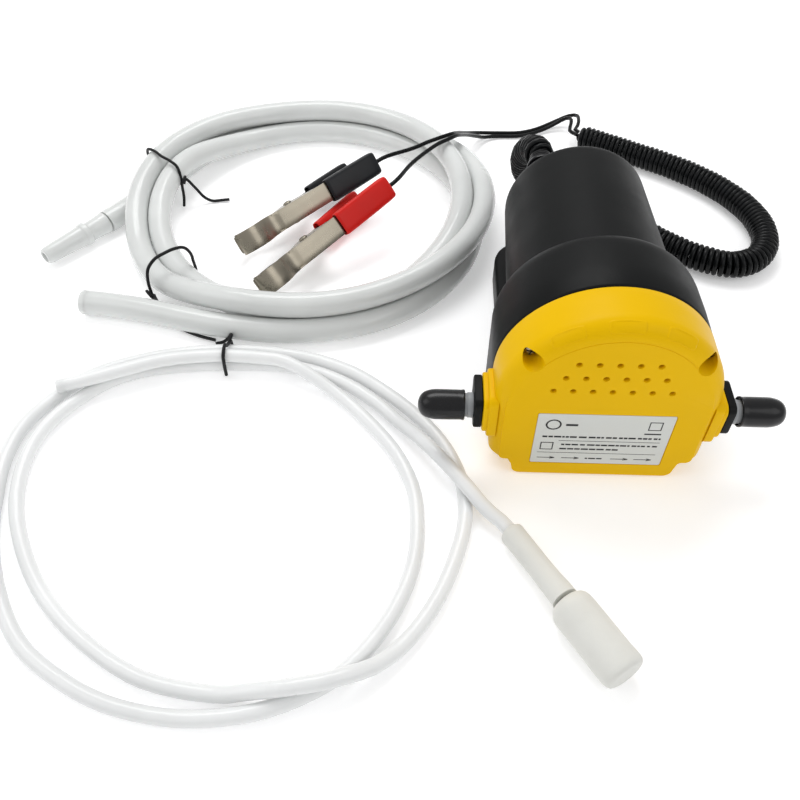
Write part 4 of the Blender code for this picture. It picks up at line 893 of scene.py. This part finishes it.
def clip_half(name, colour, side, half_w, body, node):
    M = clip_matrix(CLIPS[colour])
    line = fine_line(HALF_LINE)
    inner = inset(line, 0.9)

    def width(x):
        # the sheet widens a little towards the jaw's tip
        if x > 12:
            return half_w * (1 + 0.10 * min(1.0, (x - 12) / 12))
        return half_w

    bm = bmesh.new()
    ringlist = []
    nz = 7
    # a solid strip: cross-section across z, stepped along the line
    for (ox, oy), (ix, iy) in zip(line, inner):
        w = width(ox)
        crown = 0.0
        ring = []
        for k in range(nz):
            z = -w + 2 * w * k / (nz - 1)
            e = abs(z) / w
            drop = 0.32 * max(0.0, (e - 0.72) / 0.28) ** 2
            dx, dy = ix - ox, iy - oy
            ring.append(M @ Vector((ox + dx * drop, side * (oy + dy * drop), z)))
        for k in reversed(range(nz)):
            z = -w + 2 * w * k / (nz - 1)
            ring.append(M @ Vector((ix, side * iy, z)))
        ringlist.append([tuple(p) for p in ring])
    loft(bm, ringlist)
    ob = mesh_piece(name, bm, MAT["plated_steel"], body=body, smooth=40)
    fl = [(16.0, 6.0), (12.5, 3.0), (8.0, -0.6), (4.6, -3.4), (2.4, -4.2), (0.0, -4.5), (-2.4, -4.2), (-4.6, -3.4), (-9.0, 2.0), (-13.0, 7.0), (-16.2, 10.2), (-16.6, 11.6), (0.0, 8.9), (11.0, 6.5)]
    for a0, a1 in ((-half_w, -half_w + 0.9), (half_w - 0.9, half_w)):
        f = bmesh.new()
        prism(f, fl, lambda p, a: tuple(M @ Vector((p[0], side * p[1], a))), a0, a1)
        boolean(ob, mesh_piece("tool_flange", f, None, tool=True), "UNION")
    settle(ob, smooth=42.0)
    if side > 0:
        # no crease is drawn across the sheet where the jaw's bow begins
        pass
    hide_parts(node)
    return ob


def clip_boot(name, colour, side, material, body, node, wide):
    M = clip_matrix(CLIPS[colour])
    slope = math.atan2(17.8 - 12.4, -54.0 + 19.0)
    c, s = math.cos(slope), math.sin(slope)

    def put(p, t):
        return tuple(M @ Vector((-19.0 + c * t + s * p[0], side * (12.4 + s * t - c * p[0]), p[1])))

    def shape(hx, hz, k=40, e=0.42):
        out = []
        for i in range(k):
            a = 2 * math.pi * i / k
            cc, ss = math.cos(a), math.sin(a)
            out.append((math.copysign(abs(cc) ** e, cc) * hx - 0.5, math.copysign(abs(ss) ** e, ss) * hz))
        return out

    bm = bmesh.new()
    rings = []
    s0 = 4.0 if colour == "black" else 0.0
    for t, hx, hz in ((s0 + 3.0, 2.2, 6.5), (s0 + 0.4, 2.3, 6.6), (s0, 2.6, 6.9), (s0 + 0.5, 3.1, 7.2), (s0 + 2.0, 3.35, 7.35), (12.0, 3.4, 7.4), (24.0, 3.4, 7.4), (36.0, 3.35, 7.3), (39.2, 3.2, 7.1), (40.6, 2.8, 6.7), (41.2, 2.1, 6.0), (41.3, 1.2, 4.6)):
        rings.append([put(p, t) for p in shape(hx, hz)])
    loft(bm, rings)
    ob = mesh_piece(name, bm, material, body=body, smooth=60)
    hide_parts(node)
    return ob


for colour in ("black", "red"):
    bmat, bslot = MAT[colour + "_boot_pvc"], colour + "_boot_pvc"
    M = clip_matrix(CLIPS[colour])
    axis = M.to_3x3() @ Vector((0, 0, 1))
    c0 = M @ Vector((0, 0, 0))
    clip_half("jaw_%s_top" % colour, colour, 1, 6.0, BODY, "clip_%s_fixed_jaw" % colour)
    clip_half("jaw_%s_low" % colour, colour, -1, 4.7, colour + "_jaw", "clip_%s_moving_jaw" % colour)
    clip_boot("boot_%s_top" % colour, colour, 1, bmat, BODY, "clip_%s_fixed_boot" % colour, True)
    clip_boot("boot_%s_low" % colour, colour, -1, bmat, colour + "_jaw", "clip_%s_moving_boot" % colour, False)
    bm = bmesh.new()
    lathe(bm, [(0, -7.3), (0.9, -7.25), (1.8, -7.05), (2.5, -6.7), (2.8, -6.3), (2.8, -6.05), (1.8, -6.05), (1.8, 6.05), (2.8, 6.05), (2.8, 6.3), (2.5, 6.7), (1.8, 7.05), (0.9, 7.25), (0, 7.3)], c0, axis, 28)
    rv = mesh_piece("rivet_" + colour, bm, MAT["plated_steel"], smooth=50)
    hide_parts("clip_%s_rivet" % colour)
    # torsion spring: five turns of wire round the rivet with two legs
    pts = []
    for i in range(5 * 16 + 1):
        a = 2 * math.pi * i / 16
        pts.append(M @ Vector((3.1 * math.cos(a), 3.1 * math.sin(a), -3.0 + 6.0 * i / 80)))
    pts = [M @ Vector((-13.0, 7.4, -3.0)), M @ Vector((-5.0, 4.0, -3.0))] + pts
    sp = curve("spring_" + colour, pts, 1.1, MAT["dark_steel"], 2)
    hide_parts("clip_%s_spring" % colour)
    curve("spring_leg_" + colour, [M @ Vector(p) for p in ((-1.2, -2.9, 3.0), (-4.0, -4.6, 3.0), (-8.0, -6.6, 3.0), (-13.0, -8.6, 3.0))], 1.1, MAT["dark_steel"], 2, colour + "_jaw")

# ------------------------------------------------------------------ hose adapter, strainer, hose mouths
AD0, ADD = Vector((-283.1, 181.4, 7.15)), Vector((-0.62, -0.785, 0.0)).normalized()
bm = bmesh.new()
lathe(bm, round_profile([(3.4, 0.2), (6.4, 0.2), (6.7, 1.2), (6.2, 6.0), (5.9, 12.0), (6.1, 13.8), (7.1, 14.6), (7.1, 17.4), (6.2, 18.6), (5.7, 30.0), (5.2, 42.0), (4.5, 45.0), (3.2, 45.4), (3.2, 20.0)], 0.5, 3), tuple(AD0), tuple(ADD), 48)
adapter = mesh_piece("adapter_visual", bm, MAT["clear_hose_pvc"], smooth=45)
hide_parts("hose_adapter")

S0, S1, S2 = Vector((-41.0, -37.2, 6.4)), Vector((-19.4, -73.4, 9.9)), Vector((0.6, -104.4, 9.9))
D1, D2 = (S1 - S0).normalized(), (S2 - S1).normalized()
L1, L2 = (S1 - S0).length, (S2 - S1).length


def uneven(a, t):
    return 1.0 + 0.012 * math.sin(3 * a + t * 0.31) + 0.008 * math.sin(5 * a - t * 0.7)


bm = bmesh.new()
lathe(bm, [(0, 0.0), (3.8, 0.0), (4.9, 0.25), (5.5, 0.8), (5.75, 1.8), (5.7, 4.0), (5.6, 10.0), (5.5, 20.0), (5.6, 30.0), (5.9, 36.0), (6.0, L1 - 2.2), (0, L1 - 2.2)], tuple(S0), tuple(D1), 48, uneven)
sleeve = mesh_piece("strainer_neck", bm, MAT["white_strainer_pe"], smooth=50)
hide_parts("strainer_sleeve")
bm = bmesh.new()
prof = [(0, -1.0), (5.6, -1.0), (6.8, -0.7), (8.0, 0.2), (8.9, 1.4), (9.5, 3.0), (9.7, 5.0), (9.65, 12.0), (9.6, 20.0), (9.65, 28.0), (9.7, L2 - 3.4), (9.4, L2 - 1.8), (8.7, L2 - 0.7), (7.6, L2 - 0.15), (6.4, L2), (0, L2)]
lathe(bm, prof, tuple(S1), tuple(D2), 56, uneven)
strainer = mesh_piece("strainer_can", bm, MAT["white_strainer_pe"], smooth=50)
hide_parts("strainer_body")


def mouth(name, pts, d, bore, material):
    """The open end of a hose: a lip over the end of the solid cord, round a grey disc of painted shade that stands for
    the dark inside of the bore.
    """
    p0, p1 = pts[0], pts[2]
    ax = (p0 - p1).normalized()
    bm = bmesh.new()
    lathe(bm, [(bore / 2, 0.05), (bore / 2 + 0.3, 0.45), ((d + bore) / 4, 0.7), (d / 2 - 0.3, 0.5), (d / 2 + 0.02, 0.0), (d / 2 + 0.02, -3.0), (bore / 2, -3.0)], tuple(p0), tuple(ax), 40)
    lip = mesh_piece(name, bm, material, smooth=60)
    # painted shade: a grey disc just inside the mouth stands in for the shadow inside the hollow hose, which the solid
    # cord does not have
    bm = bmesh.new()
    lathe(bm, [(0, 0.06), (bore / 2 - 0.05, 0.06), (bore / 2 - 0.05, -1.0), (0, -1.0)], tuple(p0), tuple(ax), 32)
    bore_shade_disc = mesh_piece(name + "_bore", bm, SHADE.m, smooth=60)
    return [lip, bore_shade_disc]


# painted shade: the grey of the discs inside the hose and tube mouths
SHADE = plastic("hose_bore_shade", (0.42, 0.44, 0.45), 0.5, 300.0, 0.1)
hose_mouth = mouth("hose_mouth", hose_pts, HOSE_D, 9.6, MAT["clear_hose_pvc"])
tube_mouth = mouth("tube_mouth", tube_pts, TUBE_D, 4.6, MAT["milky_tube_pe"])

# ------------------------------------------------------------------ twist ties
def tie(name, route, d, node):
    pts = spline(route, 1.2)
    ob = curve(name, pts, d, MAT["black_tie"], 2)
    if node:
        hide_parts(node)
    return ob


def around(deg, prof, lean=0.0):
    return [tuple(polar(deg + lean * i / len(prof), r, z)) for i, (r, z) in enumerate(prof)]


up = around(173.0, [(86.6, 1.3), (86.2, 7.0), (86.8, 13.0), (87.4, 19.0), (89.6, 25.5), (95.0, 27.6), (102.0, 28.4), (108.0, 29.6), (114.5, 28.0), (117.6, 21.0), (117.9, 12.0), (117.4, 5.0), (117.0, 1.3)], -17.0)
tie_up = tie("tie_upper", up, 1.9, "hose_tie_upper")
tail = [tuple(polar(169.0, 87.6, 17.0)), tuple(polar(168.6, 84.6, 18.0)), tuple(polar(168.0, 80.0, 12.0)), tuple(polar(167.0, 75.0, 4.0)), tuple(polar(166.0, 70.5, 1.3)), tuple(polar(164.0, 65.5, 1.2)), tuple(polar(162.0, 60.5, 1.5))]
tie_up_tail = tie("tie_upper_tail", tail, 1.9, None)
knot = [tuple(polar(169.5, 86.9, 15.0)), tuple(polar(170.6, 85.2, 17.5)), tuple(polar(169.0, 84.4, 20.0)), tuple(polar(167.8, 85.6, 17.6)), tuple(polar(169.2, 86.2, 14.4))]
tie_up_knot = tie("tie_upper_knot", knot, 1.9, None)
lowp = around(222.0, [(86.6, 1.3), (86.2, 7.0), (86.8, 13.0), (87.4, 19.0), (91.0, 25.5), (97.0, 28.0), (103.0, 28.6), (110.0, 28.2), (115.5, 24.5), (117.8, 17.0), (118.0, 9.0), (117.6, 1.3)], 3.0)
tie_low = tie("tie_lower", lowp, 1.9, "hose_tie_lower")
tail = [tuple(polar(225.4, 117.6, 8.0)), tuple(polar(228.0, 119.6, 10.0)), tuple(polar(232.0, 121.0, 6.0)), tuple(polar(237.0, 122.0, 2.0)), tuple(polar(243.0, 121.5, 1.3)), tuple(polar(249.0, 120.4, 1.5))]
tie_low_tail = tie("tie_lower_tail", tail, 1.9, None)
knot = [tuple(polar(225.0, 117.8, 6.0)), tuple(polar(226.4, 119.8, 9.0)), tuple(polar(225.0, 120.6, 12.0)), tuple(polar(223.8, 119.4, 9.0)), tuple(polar(225.2, 118.2, 5.4))]
tie_low_knot = tie("tie_lower_knot", knot, 1.9, None)
bundle_tie = [(-187.5, 80.4, 1.3), (-187.5, 79.8, 6.0), (-187.4, 76.0, 8.6), (-187.3, 70.6, 11.6), (-187.2, 67.6, 15.2), (-187.0, 63.8, 15.9), (-187.0, 60.2, 14.0), (-187.0, 58.8, 8.0), (-187.0, 58.6, 1.4)]
tie_tube = tie("tie_tube", bundle_tie, 1.9, "tube_tie")
tie_tube_tail = tie("tie_tube_tail", [(-187.4, 76.4, 8.8), (-186.4, 79.6, 10.6), (-187.8, 82.4, 8.0), (-190.0, 83.6, 4.0), (-193.0, 83.4, 1.4), (-197.0, 82.0, 1.4)], 1.9, None)

# ------------------------------------------------------------------ switch and gland on the rear face
bm = bmesh.new()
loft(bm, [[xz(p, y) for p in rounded(8 - 8 + d, 8 + 8 - d, 42 - 11 + d, 42 + 11 - d, 1.6, 5)] for y, d in ((153.2, 0.0), (154.6, 0.0), (155.1, 0.25), (155.3, 0.8))])
bez = mesh_piece("switch_bezel", bm, MAT["black_cap_rubber"])
bm = bmesh.new()
prism(bm, rounded(8 - 4.6, 8 + 4.6, 42 - 8.0, 42 + 8.0, 0.6, 3), xz, 144.0, 158.0)
boolean(bez, mesh_piece("tool_bezel", bm, None, tool=True))
settle(bez)
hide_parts("switch_frame")
bm = bmesh.new()
rk = [(-3.2, -5.4), (0.5, -6.4), (4.9, -6.5), (5.5, -6.35), (5.85, -6.0), (5.3, -4.0), (4.65, -2.0), (4.4, 0.0), (4.65, 2.0), (5.3, 4.0), (5.85, 6.0), (5.5, 6.35), (4.9, 6.5), (0.5, 6.4), (-3.2, 5.4)]
tilt = math.radians(9.0)
rk = [(y * math.cos(tilt) - z * math.sin(tilt), y * math.sin(tilt) + z * math.cos(tilt)) for y, z in rk]
loft(bm, [[(8 + x, 150.0 + p[0] * k, 42.0 + p[1] * k) for p in rk] for x, k in ((-4.2, 0.96), (-4.0, 0.99), (-3.7, 1.0), (3.7, 1.0), (4.0, 0.99), (4.2, 0.96))])
rock = mesh_piece("rocker", bm, MAT["black_cap_rubber"], body="rocker", smooth=40)
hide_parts("switch_rocker")
bm = bmesh.new()
prof = [(2.2, 147), (5.2, 147), (5.2, 153.2), (8.0, 153.2), (8.2, 153.6), (8.2, 154.8), (7.8, 155.3), (7.0, 155.7)]
for i in range(4):
    t = 156.2 + i * 1.7
    prof += [(6.7 - 0.12 * i, t), (6.7 - 0.12 * i, t + 0.8), (6.1 - 0.12 * i, t + 1.0), (6.1 - 0.12 * i, t + 1.5)]
prof += [(5.9, 162.9), (5.2, 163.0), (2.2, 163.0)]
lathe(bm, prof, (-20.0, 0, 70.0), (0, 1, 0), 48)
gl = mesh_piece("gland", bm, MAT["black_cap_rubber"], smooth=40)
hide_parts("cord_gland")

for colour in ("black", "red"):
    ob, pts, names = leads[colour]

# ------------------------------------------------------------------ floor and light
fm = Nodes("floor_paper")
fm.set(Roughness=0.9)
fm.link(fm.ramp(fm.noise(6.0, 3.0), [(0.3, (0.90, 0.90, 0.905)), (0.7, (0.92, 0.92, 0.925))]), "Base Color")
fm.b.inputs["Emission Color"].default_value = (1.0, 1.0, 1.0, 1.0)
fm.b.inputs["Emission Strength"].default_value = 0.26
bm = bmesh.new()
R = 3.0
vs = [bm.verts.new(c) for c in ((-R, -R, 0), (R, -R, 0), (R, R, 0), (-R, R, 0))]
bm.faces.new(vs)
me = bpy.data.meshes.new("floor")
bm.to_mesh(me)
bm.free()
me.materials.append(fm.m)
floor = bpy.data.objects.new("floor", me)
floor.location.z = -0.0002
bpy.context.scene.collection.objects.link(floor)

world = bpy.data.worlds.new("world")
bpy.context.scene.world = world
world.use_nodes = True
world.node_tree.nodes["Background"].inputs["Color"].default_value = (1.0, 1.0, 1.0, 1.0)
world.node_tree.nodes["Background"].inputs["Strength"].default_value = 0.62


def area(name, loc, target, size, power, size_y=None):
    d = bpy.data.lights.new(name, "AREA")
    d.energy = power
    d.size = size
    if size_y:
        d.shape = "RECTANGLE"
        d.size_y = size_y
    o = bpy.data.objects.new(name, d)
    o.location = loc
    o.rotation_euler = (Vector(target) - Vector(loc)).to_track_quat("-Z", "Y").to_euler()
    bpy.context.scene.collection.objects.link(o)
    return o


area("key_light", (-0.3, 0.75, 1.3), (0.0, 0.05, 0.0), 1.0, 11.0, 0.6)
area("fill_light", (0.9, -0.7, 1.1), (0.0, 0.0, 0.03), 0.9, 3.5)
area("side_light", (-1.1, -0.3, 0.9), (-0.1, 0.0, 0.03), 0.8, 3.0)
bpy.context.scene.view_settings.view_transform = "Standard"
bpy.context.scene.view_settings.look = "None"
bpy.context.scene.view_settings.exposure = 0.0
